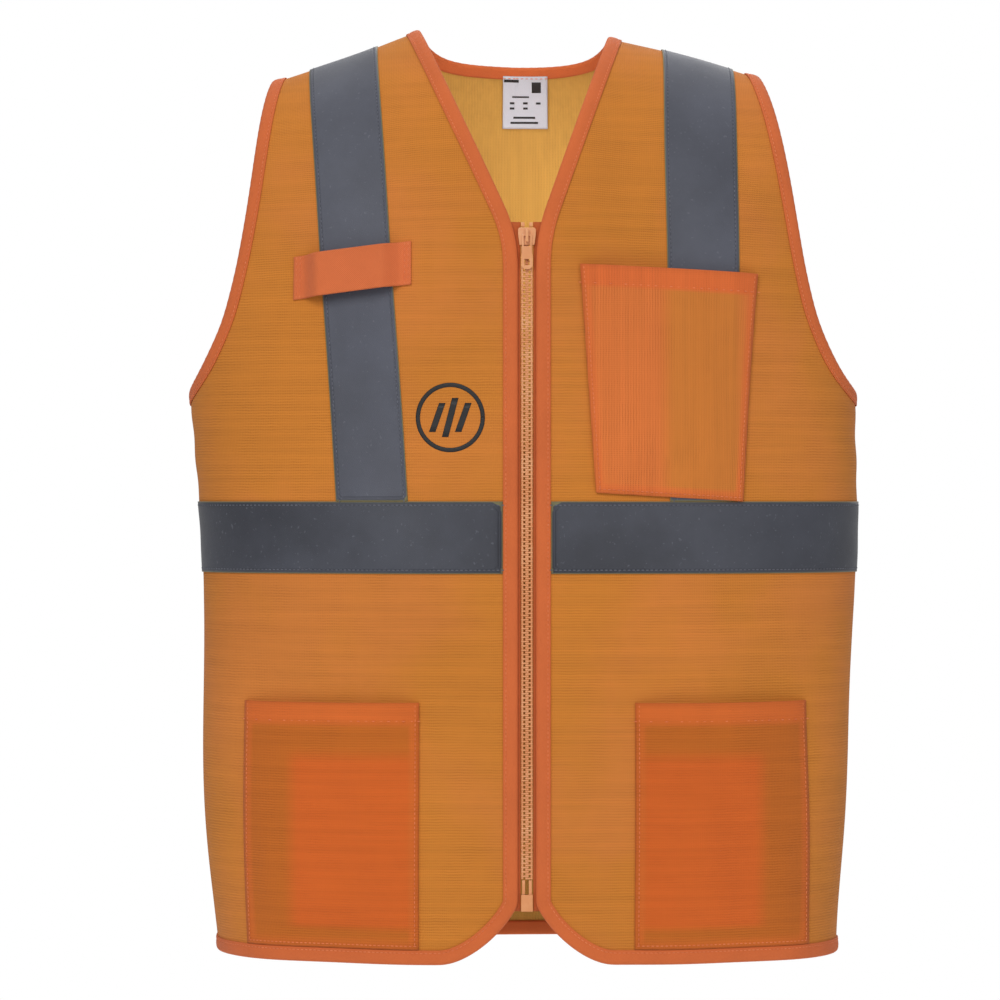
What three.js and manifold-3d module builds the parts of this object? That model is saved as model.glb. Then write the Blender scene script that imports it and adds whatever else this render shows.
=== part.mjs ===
// A sleeveless high visibility vest, in the shape it takes when it is worn.
// Millimetres. +X points to the wearer's left, -Y to the front and +Z up. Heights are measured
// up from the hem while the pieces are made, and the finished vest is then lowered so that its
// origin lies between the shoulders, where it hangs.
// Every cloth piece is cut from a thin layer of one torso surface by an outline drawn from the front.
import * as THREE from 'three';
import { mergeVertices } from 'three/addons/utils/BufferGeometryUtils.js';
import Module from 'manifold-3d';

const wasm = await Module();
wasm.setup();

// Torso that the vest is shaped by
const LENGTH = 652;             // hem to the neck points
const CHEST_HALF_WIDTH = 236;
const HEM_HALF_WIDTH = 222;
const FRONT_DEPTH = 112;
const BACK_DEPTH = 100;
const FRONT_ROLL = 150;         // height over which the chest turns back to the shoulder seam
const BACK_ROLL = 110;
const SHOULDER_SLOPE = 0.3;
const SQUARENESS = 2.4;         // exponent of the torso's cross-section, 2 is an ellipse

// Outlines
const NECK_HALF_WIDTH = 68;
const NECK_SHIFT = -8;          // the neck hangs a little towards the wearer's right
const NECK_V_DEPTH = 148;       // neck points down to the foot of the V
const BACK_NECK_DROP = 14;
const SHOULDER_LENGTH = 104;    // from a neck point to the shoulder tip, seen from the front
const ARMHOLE_DEPTH = 256;      // neck points down to the armpits
const ARMHOLE_HALF_WIDTH = { right: 194, left: 187 };
const ARMHOLE_BACK_INSET = 9;
const CORNER_WIDTH = 53;        // rounded lower corner of each front
const CORNER_HEIGHT = 42;

// Cloth layers, as distances out from the outer face of the shell fabric
const GAP = 0.3;
const FABRIC = 0.8;
const TRIM = 0.7;
const BINDING_WIDTH = 9;
const TAPE_WIDTH = 50;
const WAIST_TAPE_DROP = 76;     // armpits down to the top of the waist tape
const SHOULDER_TAPE_TOP_X = { right: 131, left: 121 };
const SHOULDER_TAPE_FOOT_X = { right: 107, left: 124 };

// Pockets
const CHEST_POCKET_TOP_WIDTH = 123;
const CHEST_POCKET_FOOT_WIDTH = 101;
const CHEST_POCKET_HEIGHT = 158;
const CHEST_POCKET_X = 98;
const CHEST_POCKET_TILT = 6;    // how much lower its outer corners are
const LOWER_POCKET_WIDTH = 121;
const LOWER_POCKET_X = 135;
const LOWER_POCKET_DROP = 89;   // waist tape down to the pocket mouths
const INNER_POCKET_WIDTH = 90;
const INNER_POCKET_HEIGHT = 116;
const INNER_POCKET_RISE = 28;
const POCKET_BULGE = 9;
const POCKET_SEAM = 7;          // width of the stitched edge that rises to the bulge
const TAB_WIDTH = 82;
const TAB_HEIGHT = 30;
const TAB_TILT = 10;
const TAB_DROP = 4;             // foot of the V down to the tab's upper inner corner
const TAB_X = -121;
const TAB_STANDOFF = 10;
const LABEL_WIDTH = 34;
const LABEL_HEIGHT = 38;
const LABEL_DROP = 5;

// Zip
const ZIP_EDGE = 6.5;           // centre line to the bound edge of a front
const TOOTH_PITCH = 3;
const TOOTH_REACH = 1.2;        // how far a tooth crosses the centre line
const TOOTH_DEPTH = 2.4;
const TOOTH_CLEARANCE = 0.35;
const BEAD_INNER = 1.6;
const BEAD_OUTER = 4;
const ZIP_TAPE_OUTER = 18;
const ZIP_FOOT = 37;            // height of the retainer box's foot
const BOX_HEIGHT = 11.5;
const BOX_DEPTH = 5;
const PIN_INNER = 1.3;
const PIN_LENGTH = 10;
const SLIDER_LENGTH = 12;
const SLIDER_TOP_WIDTH = 12.2;
const SLIDER_FOOT_WIDTH = 10.2;
const SLIDER_PLATE = 1.1;
const SLIDER_PLAY = 0.4;
const DIAMOND_WIDTH = 2;
const BRIDGE_WIDTH = 2;
const PULL_WIDTH = 8;
const PULL_LENGTH = 24;
const PULL_THICKNESS = 1.2;
const PULL_EYE = 7;

// Places that follow from the sizes above
const SIDES = { right: -1, left: 1 };
const ARMPIT = LENGTH - ARMHOLE_DEPTH;
const V_FOOT = LENGTH - NECK_V_DEPTH;
const TIP_REACH = NECK_HALF_WIDTH + SHOULDER_LENGTH;
const TAPE_TOP = ARMPIT - WAIST_TAPE_DROP;
const TAPE_FOOT = TAPE_TOP - TAPE_WIDTH;
const OUTER = GAP + TRIM;
const INNER = -FABRIC - GAP - TRIM;
const ZIP_TAPE_FACE = INNER - GAP;
const ZIP_Y = -(FRONT_DEPTH + ZIP_TAPE_FACE - TRIM / 2);
const SLIDER_FOOT = V_FOOT - 7;
const BOX_TOP = ZIP_FOOT + BOX_HEIGHT;
const PIN_TOP = BOX_TOP + PIN_LENGTH;
const REACH = 400;              // anything past the vest's own size
const OVERSHOOT = 40;           // how far an outline is carried past the edge that it cuts
const HEM_MARGIN = 8;           // how far the torso surface is carried below the hem
const SHORTEST_EDGE = 0.02;     // slivers that a cut leaves are closed up below this
const COLUMNS = 9;
const BODY_ROWS = 4;            // below the armholes
const CHEST_ROWS = 2;           // beside the armholes, up to where the shoulders begin to turn
const ROLL_ROWS = 6;            // over the shoulders
const NARROWING = 26;           // height above the armpits at which the surface draws in
const SHOULDER_SHARE = 0.94;    // width of the surface there, as a share of the chest's
const SEAM_STEP = 2;            // how far a cutting layer is carried past the side seams

const COLOURS = {
  shell: ['#d98a3a', 0.85], binding: ['#e0702f', 0.8], pocket: ['#dc7a35', 0.85], tape: ['#5c6070', 0.5],
  zipTape: ['#c86f35', 0.85], zipPlastic: ['#e6a878', 0.45], label: ['#f2f2ee', 0.7],
};

const vest = new THREE.Group();

function addPiece(name, solid, finish, parent = vest) {
  const bodies = solid.simplify(SHORTEST_EDGE).decompose().sort((a, b) => b.volume() - a.volume());
  const mesh = bodies[0].getMesh();
  const geometry = new THREE.BufferGeometry();
  geometry.setAttribute('position', new THREE.BufferAttribute(new Float32Array(mesh.vertProperties), 3));
  geometry.setIndex(new THREE.BufferAttribute(new Uint32Array(mesh.triVerts), 1));
  geometry.computeVertexNormals();
  const [color, roughness] = COLOURS[finish];
  const piece = new THREE.Mesh(geometry, new THREE.MeshStandardMaterial({ color, roughness, metalness: 0 }));
  piece.name = name;
  parent.add(piece);
  return piece;
}

function toSolid(geometry) {
  const bare = geometry.clone();
  bare.deleteAttribute('normal');
  bare.deleteAttribute('uv');
  const merged = mergeVertices(bare, 1e-4);
  const vertProperties = new Float32Array(merged.attributes.position.array);
  const triVerts = new Uint32Array(merged.index.array);
  const solid = new wasm.Manifold(new wasm.Mesh({ numProp: 3, vertProperties, triVerts }));
  if (solid.volume() > 0) {
    return solid;
  }
  return new wasm.Manifold(new wasm.Mesh({ numProp: 3, vertProperties, triVerts: triVerts.reverse() }));
}

// Torso surface ---------------------------------------------------------------------------------

function halfWidth(height) {
  const share = THREE.MathUtils.clamp(height / ARMPIT, 0, 1);
  return THREE.MathUtils.lerp(HEM_HALF_WIDTH, CHEST_HALF_WIDTH, 1 - (1 - share) ** 2);
}

function ridgeHeight(x) {
  return LENGTH - SHOULDER_SLOPE * (Math.abs(x - NECK_SHIFT) - NECK_HALF_WIDTH);
}

// How far the surface has turned over the shoulder: 1 on the straight body, 0 at the shoulder seam.
function turn(x, height, roll) {
  const cosine = THREE.MathUtils.clamp(1 - (ridgeHeight(x) - height) / roll, 0, 1);
  return Math.sqrt(1 - cosine ** 2);
}

function torsoY(x, height, face) {
  const [depth, roll] = face < 0 ? [FRONT_DEPTH, FRONT_ROLL] : [BACK_DEPTH, BACK_ROLL];
  const across = Math.min(Math.abs(x) / halfWidth(height), 1);
  return face * depth * (1 - across ** SQUARENESS) ** (1 / SQUARENESS) * turn(x, height, roll);
}

function outwardNormal(point, face) {
  const [depth, roll] = face < 0 ? [FRONT_DEPTH, FRONT_ROLL] : [BACK_DEPTH, BACK_ROLL];
  const level = (x, y, z) => (Math.abs(x) / halfWidth(z)) ** SQUARENESS
    + (Math.abs(y) / (depth * Math.max(turn(x, z, roll), 1e-9))) ** SQUARENESS;
  const step = Math.min(1e-3, Math.abs(point.y) / 4);
  const { x, y, z } = point;
  return new THREE.Vector3(
    level(x + step, y, z) - level(x - step, y, z),
    level(x, y + step, z) - level(x, y - step, z),
    level(x, y, z + step) - level(x, y, z - step),
  ).normalize();
}

function torsoPoint(x, height, face) {
  const point = new THREE.Vector3(x, torsoY(x, height, face), height);
  return { point, normal: outwardNormal(point, face) };
}

function offsetPoint(site, distance) {
  return site.point.clone().addScaledVector(site.normal, distance);
}

// Grid of the front or the back of the torso, from below the hem up to the shoulder seam.
function torsoGrid(face) {
  const [depth, roll] = face < 0 ? [FRONT_DEPTH, FRONT_ROLL] : [BACK_DEPTH, BACK_ROLL];
  const grid = [];
  for (let row = 0; row <= BODY_ROWS + CHEST_ROWS + ROLL_ROWS; row += 1) {
    const line = [];
    for (let column = -COLUMNS; column <= COLUMNS; column += 1) {
      const angle = Math.min(Math.abs(column) / COLUMNS * Math.PI / 2, Math.PI / 2 - 1e-3);
      const share = Math.sign(column) * Math.sin(angle) ** (2 / SQUARENESS);
      line.push(gridSite(share, row, face, depth, roll));
    }
    grid.push(line);
  }
  return grid;
}

function gridSite(share, row, face, depth, roll) {
  const chestFoot = ARMPIT + NARROWING;
  const turned = row - BODY_ROWS - CHEST_ROWS;
  let height = 0;
  let x = share * CHEST_HALF_WIDTH;
  for (let pass = 0; pass < 6; pass += 1) {
    if (row <= BODY_ROWS) {
      height = THREE.MathUtils.lerp(-HEM_MARGIN, chestFoot, row / BODY_ROWS);
    } else if (turned <= 0) {
      height = THREE.MathUtils.lerp(chestFoot, ridgeHeight(x) - roll, (row - BODY_ROWS) / CHEST_ROWS);
    } else {
      const angle = Math.max(Math.PI / 2 * (1 - turned / ROLL_ROWS), 0.5 * GAP / depth);
      height = ridgeHeight(x) - roll * (1 - Math.cos(angle));
    }
    const above = THREE.MathUtils.smoothstep(height, chestFoot, ARMPIT + 70);
    x = share * halfWidth(height) * THREE.MathUtils.lerp(1, SHOULDER_SHARE, above);
  }
  return torsoPoint(x, height, face);
}

// Closed sheet between two distances from a grid of surface sites.
function sheet(grid, innerDistance, outerDistance) {
  const rows = grid.length;
  const columns = grid[0].length;
  const positions = [];
  for (const distance of [outerDistance, innerDistance]) {
    grid.forEach((line, row) => line.forEach((site, column) => {
      const out = typeof distance === 'function' ? distance(row, column) : distance;
      positions.push(...offsetPoint(site, out).toArray());
    }));
  }
  const outerAt = (row, column) => row * columns + column;
  const innerAt = (row, column) => rows * columns + row * columns + column;
  const index = [];
  const quad = (a, b, c, d) => index.push(a, b, c, a, c, d);
  const wall = (rowA, columnA, rowB, columnB) => {
    quad(outerAt(rowA, columnA), outerAt(rowB, columnB), innerAt(rowB, columnB), innerAt(rowA, columnA));
  };
  const [lastRow, lastColumn] = [rows - 1, columns - 1];
  for (let row = 0; row < lastRow; row += 1) {
    for (let column = 0; column < lastColumn; column += 1) {
      const [above, beside] = [row + 1, column + 1];
      quad(outerAt(row, column), outerAt(row, beside), outerAt(above, beside), outerAt(above, column));
      quad(innerAt(row, column), innerAt(above, column), innerAt(above, beside), innerAt(row, beside));
    }
    wall(row, 0, row + 1, 0);
    wall(row + 1, lastColumn, row, lastColumn);
  }
  for (let column = 0; column < lastColumn; column += 1) {
    wall(0, column + 1, 0, column);
    wall(lastRow, column, lastRow, column + 1);
  }
  const geometry = new THREE.BufferGeometry();
  geometry.setAttribute('position', new THREE.Float32BufferAttribute(positions, 3));
  geometry.setIndex(index);
  return toSolid(geometry);
}

const GRIDS = { [-1]: torsoGrid(-1), [1]: torsoGrid(1) };

function layer(face, innerDistance, outerDistance) {
  return sheet(GRIDS[face], innerDistance, outerDistance);
}

// The same layer carried on past the side and shoulder seams, so that it cuts right through an end.
function cuttingLayer(face, innerDistance, outerDistance) {
  const past = ({ point, normal }) => {
    const moved = point.clone().setY(point.y - SEAM_STEP * face);
    return { point: moved, normal };
  };
  const wide = GRIDS[face].map((line) => [past(line[0]), ...line, past(line.at(-1))]);
  return sheet([...wide, wide.at(-1).map(past)], innerDistance, outerDistance);
}

// Outlines, seen from the front ------------------------------------------------------------------

// Solid that reaches through the vest from front to back inside a closed outline of (x, height) points.
function cutter(outline) {
  const shape = new THREE.Shape(outline);
  const geometry = new THREE.ExtrudeGeometry(shape, { depth: 2 * REACH, bevelEnabled: false, steps: 1 });
  geometry.rotateX(Math.PI / 2);
  geometry.translate(0, REACH, 0);
  return toSolid(geometry);
}

function flatPoint(x, height) {
  return new THREE.Vector2(x, height);
}

function bezier(start, handleA, handleB, end, steps) {
  return new THREE.CubicBezierCurve(start, handleA, handleB, end).getPoints(steps);
}

function leftNormals(path) {
  return path.map((point, i) => {
    const before = path[Math.max(i - 1, 0)];
    const after = path[Math.min(i + 1, path.length - 1)];
    const a = point.clone().sub(before).normalize();
    const b = after.clone().sub(point).normalize();
    const along = a.clone().add(b).normalize();
    const mitre = Math.max(along.dot(a.lengthSq() > 0 ? a : b), 0.5);
    return new THREE.Vector2(-along.y, along.x).multiplyScalar(1 / mitre);
  });
}

// Band along a path, reaching `left` and `right` of it.
function band(path, left, right) {
  const normals = leftNormals(path);
  const leftEdge = path.map((point, i) => point.clone().addScaledVector(normals[i], left));
  const rightEdge = path.map((point, i) => point.clone().addScaledVector(normals[i], -right));
  return cutter([...leftEdge, ...rightEdge.reverse()]);
}

function armholePath(side, inset) {
  const sign = SIDES[side];
  const waist = ARMHOLE_HALF_WIDTH[side] - inset;
  const tip = NECK_SHIFT + sign * TIP_REACH;
  const span = ridgeHeight(tip) - ARMPIT;
  return [
    flatPoint(tip, ridgeHeight(tip) + OVERSHOOT),
    ...bezier(
      flatPoint(tip, ridgeHeight(tip)), flatPoint(sign * (waist + 3), ARMPIT + 0.72 * span),
      flatPoint(sign * waist, ARMPIT + 0.2 * span), flatPoint(sign * (CHEST_HALF_WIDTH + 1), ARMPIT), 10,
    ),
    flatPoint(sign * (CHEST_HALF_WIDTH + 1 + OVERSHOOT), ARMPIT - 0.95 * OVERSHOOT),
  ];
}

// From the side seam along the hem, round the corner, up the zip and the V to past the neck point.
function frontEdgePath(side) {
  const sign = SIDES[side];
  const neck = NECK_SHIFT + sign * NECK_HALF_WIDTH;
  const edge = ZIP_EDGE + OUTER;
  const rise = (ridgeHeight(neck) - V_FOOT) / (Math.abs(neck) - edge);
  return [
    flatPoint(sign * (CHEST_HALF_WIDTH + OVERSHOOT), OUTER),
    ...bezier(
      flatPoint(sign * (edge + CORNER_WIDTH), OUTER), flatPoint(sign * (edge + 0.66 * CORNER_WIDTH), OUTER),
      flatPoint(sign * (edge + 0.18 * CORNER_WIDTH), 0.52 * CORNER_HEIGHT),
      flatPoint(sign * edge, CORNER_HEIGHT), 6,
    ),
    flatPoint(sign * edge, V_FOOT),
    flatPoint(neck, ridgeHeight(neck)),
    flatPoint(neck + sign * OVERSHOOT / rise, ridgeHeight(neck) + OVERSHOOT),
  ];
}

function backNeckPath() {
  const right = NECK_SHIFT - NECK_HALF_WIDTH;
  const left = NECK_SHIFT + NECK_HALF_WIDTH;
  const low = LENGTH - BACK_NECK_DROP;
  const middle = flatPoint(NECK_SHIFT, low);
  return [
    flatPoint(right - 0.1 * OVERSHOOT, LENGTH + OVERSHOOT),
    ...bezier(
      flatPoint(right, LENGTH), flatPoint(right + 12, low), flatPoint(right + 24, low), middle, 5,
    ),
    ...bezier(
      middle, flatPoint(left - 24, low), flatPoint(left - 12, low), flatPoint(left, LENGTH), 5,
    ).slice(1),
    flatPoint(left + 0.1 * OVERSHOOT, LENGTH + OVERSHOOT),
  ];
}

// Shell and bindings ----------------------------------------------------------------------------

function frontOutline(side) {
  return cutter([...frontEdgePath(side), ...armholePath(side, 0)]);
}

function backOutline() {
  return cutter([
    flatPoint(-CHEST_HALF_WIDTH - OVERSHOOT, OUTER),
    ...armholePath('right', ARMHOLE_BACK_INSET).reverse(),
    ...backNeckPath(),
    ...armholePath('left', ARMHOLE_BACK_INSET),
    flatPoint(CHEST_HALF_WIDTH + OVERSHOOT, OUTER),
  ]);
}

// Folded strip that holds a cloth edge: a leg on each face and a bridge round the edge.
function binding(face, path, clothSide) {
  const reach = (outside, inside) => (
    clothSide > 0 ? band(path, inside, outside) : band(path, outside, inside)
  );
  const body = layer(face, INNER, OUTER).intersect(reach(OUTER, BINDING_WIDTH));
  const slot = cuttingLayer(face, INNER + TRIM, OUTER - TRIM).intersect(reach(GAP, BINDING_WIDTH + 1));
  return body.subtract(slot);
}

function addShell() {
  for (const side of Object.keys(SIDES)) {
    addPiece(`${side}_front_panel`, layer(-1, -FABRIC, 0).intersect(frontOutline(side)), 'shell');
  }
  addPiece('back_panel', layer(1, -FABRIC, 0).intersect(backOutline()), 'shell');
}

function addBindings() {
  for (const [side, sign] of Object.entries(SIDES)) {
    const edge = frontEdgePath(side);
    const armhole = armholePath(side, 0);
    const backArmhole = armholePath(side, ARMHOLE_BACK_INSET);
    addPiece(`${side}_front_binding`, binding(-1, edge, sign < 0 ? 1 : -1), 'binding');
    addPiece(`${side}_armhole_binding_front`, binding(-1, armhole, sign < 0 ? 1 : -1), 'binding');
    addPiece(`${side}_armhole_binding_back`, binding(1, backArmhole, sign < 0 ? 1 : -1), 'binding');
  }
  const past = CHEST_HALF_WIDTH + OVERSHOOT;
  const hem = [flatPoint(-past, OUTER), flatPoint(past, OUTER)];
  addPiece('back_hem_binding', binding(1, hem, 1), 'binding');
  addPiece('back_neck_binding', binding(1, backNeckPath(), -1), 'binding');
}

// Reflective tapes ------------------------------------------------------------------------------

function rectangle(x, width, foot, top) {
  const [a, b] = [x - width / 2, x + width / 2];
  return [flatPoint(a, foot), flatPoint(b, foot), flatPoint(b, top), flatPoint(a, top)];
}

function shoulderTapeOutline(side) {
  const sign = SIDES[side];
  const foot = sign * SHOULDER_TAPE_FOOT_X[side];
  const top = sign * SHOULDER_TAPE_TOP_X[side];
  const climb = LENGTH - TAPE_TOP;
  const half = TAPE_WIDTH / 2;
  return [
    flatPoint(foot - half, TAPE_TOP + GAP), flatPoint(foot + half, TAPE_TOP + GAP),
    flatPoint(top + half, TAPE_TOP + climb), flatPoint(top - half, TAPE_TOP + climb),
  ];
}

function addTapes() {
  const inner = ZIP_EDGE + OUTER + BINDING_WIDTH + GAP;
  const outer = CHEST_HALF_WIDTH + OVERSHOOT;
  for (const [side, sign] of Object.entries(SIDES)) {
    const waist = rectangle(sign * (inner + outer) / 2, outer - inner, TAPE_FOOT, TAPE_TOP);
    addPiece(`${side}_waist_tape_front`, layer(-1, GAP, OUTER).intersect(cutter(waist)), 'tape');
    const shoulder = cutter(shoulderTapeOutline(side));
    addPiece(`${side}_shoulder_tape_front`, layer(-1, GAP, OUTER).intersect(shoulder), 'tape');
    addPiece(`${side}_shoulder_tape_back`, layer(1, GAP, OUTER).intersect(shoulder), 'tape');
  }
  const around = cutter(rectangle(0, 2 * outer, TAPE_FOOT, TAPE_TOP));
  addPiece('waist_tape_back', layer(1, GAP, OUTER).intersect(around), 'tape');
}

// Pockets, tab and label ------------------------------------------------------------------------

// Shares along one side of a pocket: a narrow seam at a closed end, even steps between.
function seamShares(length, steps, closedEnd) {
  const seam = POCKET_SEAM / length;
  const end = closedEnd ? 1 - seam : 1;
  const inside = Array.from({ length: steps + 1 }, (_, i) => THREE.MathUtils.lerp(seam, end, i / steps));
  return closedEnd ? [0, ...inside, 1] : [0, ...inside];
}

// Patch pocket from its four corners, bulging `outward` (1) or into the vest (-1), its mouth at the top.
function patchPocket(corners, rest, outward) {
  const across = seamShares(corners.footOuter.distanceTo(corners.footInner), 6, true);
  const up = seamShares(corners.footInner.distanceTo(corners.topInner), 7, false);
  const grid = up.map((rise) => across.map((share) => {
    const foot = corners.footOuter.clone().lerp(corners.footInner, share);
    const top = corners.topOuter.clone().lerp(corners.topInner, share);
    const spot = foot.lerp(top, rise);
    return torsoPoint(spot.x, spot.y, -1);
  }));
  const bulge = (row, column) => (row > 0 && column > 0 && column < across.length - 1 ? POCKET_BULGE : 0);
  const near = (row, column) => outward * (rest + bulge(row, column));
  const far = (row, column) => outward * (rest + bulge(row, column) + FABRIC);
  const cloth = outward > 0 ? sheet(grid, near, far) : sheet(grid, far, near);
  const below = outward > 0 ? layer(-1, -FABRIC - GAP, rest) : layer(-1, -FABRIC - GAP, GAP);
  return cloth.subtract(below);
}

function boxCorners(sign, x, width, foot, top) {
  return {
    footOuter: flatPoint(sign * (x + width / 2), foot),
    footInner: flatPoint(sign * (x - width / 2), foot),
    topOuter: flatPoint(sign * (x + width / 2), top),
    topInner: flatPoint(sign * (x - width / 2), top),
  };
}

function addPockets() {
  const chest = {
    footOuter: flatPoint(CHEST_POCKET_X + CHEST_POCKET_FOOT_WIDTH / 2, TAPE_TOP),
    footInner: flatPoint(CHEST_POCKET_X - CHEST_POCKET_FOOT_WIDTH / 2, TAPE_TOP + CHEST_POCKET_TILT),
    topOuter: flatPoint(CHEST_POCKET_X + CHEST_POCKET_TOP_WIDTH / 2, TAPE_TOP + CHEST_POCKET_HEIGHT),
    topInner: flatPoint(
      CHEST_POCKET_X - CHEST_POCKET_TOP_WIDTH / 2, TAPE_TOP + CHEST_POCKET_HEIGHT + CHEST_POCKET_TILT,
    ),
  };
  addPiece('chest_pocket', patchPocket(chest, OUTER + GAP, 1), 'pocket');
  const foot = OUTER + BINDING_WIDTH + GAP;
  for (const [side, sign] of Object.entries(SIDES)) {
    const lower = boxCorners(sign, LOWER_POCKET_X, LOWER_POCKET_WIDTH, foot, TAPE_FOOT - LOWER_POCKET_DROP);
    addPiece(`${side}_lower_pocket`, patchPocket(lower, GAP, 1), 'pocket');
    const innerX = LOWER_POCKET_X - (LOWER_POCKET_WIDTH - INNER_POCKET_WIDTH) / 2;
    const top = INNER_POCKET_RISE + INNER_POCKET_HEIGHT;
    const inner = boxCorners(sign, innerX, INNER_POCKET_WIDTH, INNER_POCKET_RISE, top);
    addPiece(`${side}_inner_pocket`, patchPocket(inner, FABRIC + OUTER, -1), 'pocket');
  }
}

// Strap sewn down at both ends across the right shoulder tape, with a flat face that stands clear.
function addRadioTab() {
  const shares = [0, 0.07, 0.2, 0.8, 0.93, 1];
  const standing = [false, false, true, true, false, false];
  const top = V_FOOT - TAB_DROP;
  const siteAt = (share, row) => {
    const x = TAB_X + (share - 0.5) * TAB_WIDTH;
    return torsoPoint(x, top - (1 - row) * TAB_HEIGHT - (1 - share) * TAB_TILT, -1);
  };
  const grid = [0, 1].map((row) => shares.map((share) => siteAt(share, row)));
  const corners = grid.flatMap((line) => line.filter((_, i) => standing[i]));
  const middle = corners.reduce((sum, site) => sum.add(site.point), new THREE.Vector3()).divideScalar(4);
  const normal = corners.reduce((sum, site) => sum.add(site.normal), new THREE.Vector3()).normalize();
  const plane = new THREE.Plane().setFromNormalAndCoplanarPoint(normal, middle);
  for (const site of corners) {
    site.point = plane.projectPoint(site.point, new THREE.Vector3());
    site.normal = normal;
  }
  const near = (row, column) => GAP + (standing[column] ? TAB_STANDOFF : 0);
  const far = (row, column) => near(row, column) + FABRIC;
  const strap = sheet(grid, near, far).subtract(layer(-1, -FABRIC - GAP, GAP));
  addPiece('radio_tab', strap, 'binding');
}

function addLabel() {
  const top = LENGTH - BACK_NECK_DROP + OUTER - LABEL_DROP;
  const outline = cutter(rectangle(0, LABEL_WIDTH, top - LABEL_HEIGHT, top));
  addPiece('size_label', layer(1, ZIP_TAPE_FACE - TRIM, ZIP_TAPE_FACE).intersect(outline), 'label');
}

// Zip -------------------------------------------------------------------------------------------

// Plate with an (x, height) outline and optional holes, from one y to another.
function plate(outline, yFrom, yTo, holes = []) {
  const shape = new THREE.Shape(outline);
  shape.holes = holes.map((hole) => new THREE.Path(hole));
  const geometry = new THREE.ExtrudeGeometry(shape, { depth: yTo - yFrom, bevelEnabled: false });
  geometry.rotateX(Math.PI / 2);
  geometry.translate(0, yTo, 0);
  return toSolid(geometry);
}

function bar(x, width, foot, top, halfDepth) {
  return plate(rectangle(x, width, foot, top), ZIP_Y - halfDepth, ZIP_Y + halfDepth);
}

function toothRow(sign) {
  const foot = PIN_TOP + 0.5;
  const top = V_FOOT - 4;
  const half = (TOOTH_PITCH / 2 - TOOTH_CLEARANCE) / 2;
  const first = foot + (sign > 0 ? 0.25 : 0.75) * TOOTH_PITCH;
  const outline = [
    flatPoint(sign * BEAD_INNER, foot), flatPoint(sign * BEAD_OUTER, foot), flatPoint(sign * BEAD_OUTER, top),
    flatPoint(sign * BEAD_INNER, top),
  ];
  const count = Math.floor((top - half - first) / TOOTH_PITCH);
  for (let i = count; i >= 0; i -= 1) {
    const height = first + i * TOOTH_PITCH;
    outline.push(
      flatPoint(sign * BEAD_INNER, height + half), flatPoint(-sign * TOOTH_REACH, height + half),
      flatPoint(-sign * TOOTH_REACH, height - half), flatPoint(sign * BEAD_INNER, height - half),
    );
  }
  return plate(outline, ZIP_Y - TOOTH_DEPTH / 2, ZIP_Y + TOOTH_DEPTH / 2);
}

function addZipHalves() {
  const tapeInner = BEAD_OUTER + GAP;
  for (const [side, sign] of Object.entries(SIDES)) {
    const width = ZIP_TAPE_OUTER - tapeInner;
    const x = sign * (tapeInner + width / 2);
    const outline = cutter(rectangle(x, width, ZIP_FOOT, V_FOOT + 9));
    const tape = layer(-1, ZIP_TAPE_FACE - TRIM, ZIP_TAPE_FACE).intersect(outline);
    addPiece(`${side}_zip_tape`, tape, 'zipTape');
    addPiece(`${side}_zip_teeth`, toothRow(sign), 'zipPlastic');
    const stopX = sign * (BEAD_INNER + BEAD_OUTER) / 2;
    const stopFoot = SLIDER_FOOT + SLIDER_LENGTH + 0.6;
    const stop = bar(stopX, BEAD_OUTER - BEAD_INNER, stopFoot, stopFoot + 3, TOOTH_DEPTH / 2);
    addPiece(`${side}_top_stop`, stop, 'zipPlastic');
  }
}

// The box holds the left pin fast and takes the right one, which lifts out to part the fronts.
function addZipFoot() {
  const pinWidth = BEAD_OUTER - PIN_INNER - 2 * GAP;
  const pinX = PIN_INNER + pinWidth / 2;
  const block = bar(0, 2 * BEAD_OUTER, ZIP_FOOT, BOX_TOP, BOX_DEPTH / 2);
  const leftPin = bar(pinX, pinWidth, BOX_TOP - 1, PIN_TOP, TOOTH_DEPTH / 2);
  const pinFoot = ZIP_FOOT + 2;
  const socket = bar(-pinX, pinWidth + 2 * GAP, pinFoot - GAP, BOX_TOP + 1, TOOTH_DEPTH / 2 + GAP);
  addPiece('retainer_box', block.add(leftPin).subtract(socket), 'zipPlastic');
  addPiece('insertion_pin', bar(-pinX, pinWidth, pinFoot, PIN_TOP, TOOTH_DEPTH / 2), 'zipPlastic');
}

const PLATE_INNER = TOOTH_DEPTH / 2 + SLIDER_PLAY;
const BAR_PLAY = 1.1;
const PULL_Y = ZIP_Y - PLATE_INNER - SLIDER_PLATE - BAR_PLAY;
const PULL_PIVOT = SLIDER_FOOT + 0.55 * SLIDER_LENGTH;

function sliderOutline() {
  const [top, foot] = [SLIDER_FOOT + SLIDER_LENGTH, SLIDER_FOOT];
  const [wide, narrow] = [SLIDER_TOP_WIDTH / 2, SLIDER_FOOT_WIDTH / 2];
  return [
    flatPoint(-narrow, foot), flatPoint(narrow, foot), flatPoint(wide, foot + 0.6 * SLIDER_LENGTH),
    flatPoint(wide, top - 1), flatPoint(wide - 1, top), flatPoint(1 - wide, top), flatPoint(-wide, top - 1),
    flatPoint(-wide, foot + 0.6 * SLIDER_LENGTH),
  ];
}

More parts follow.
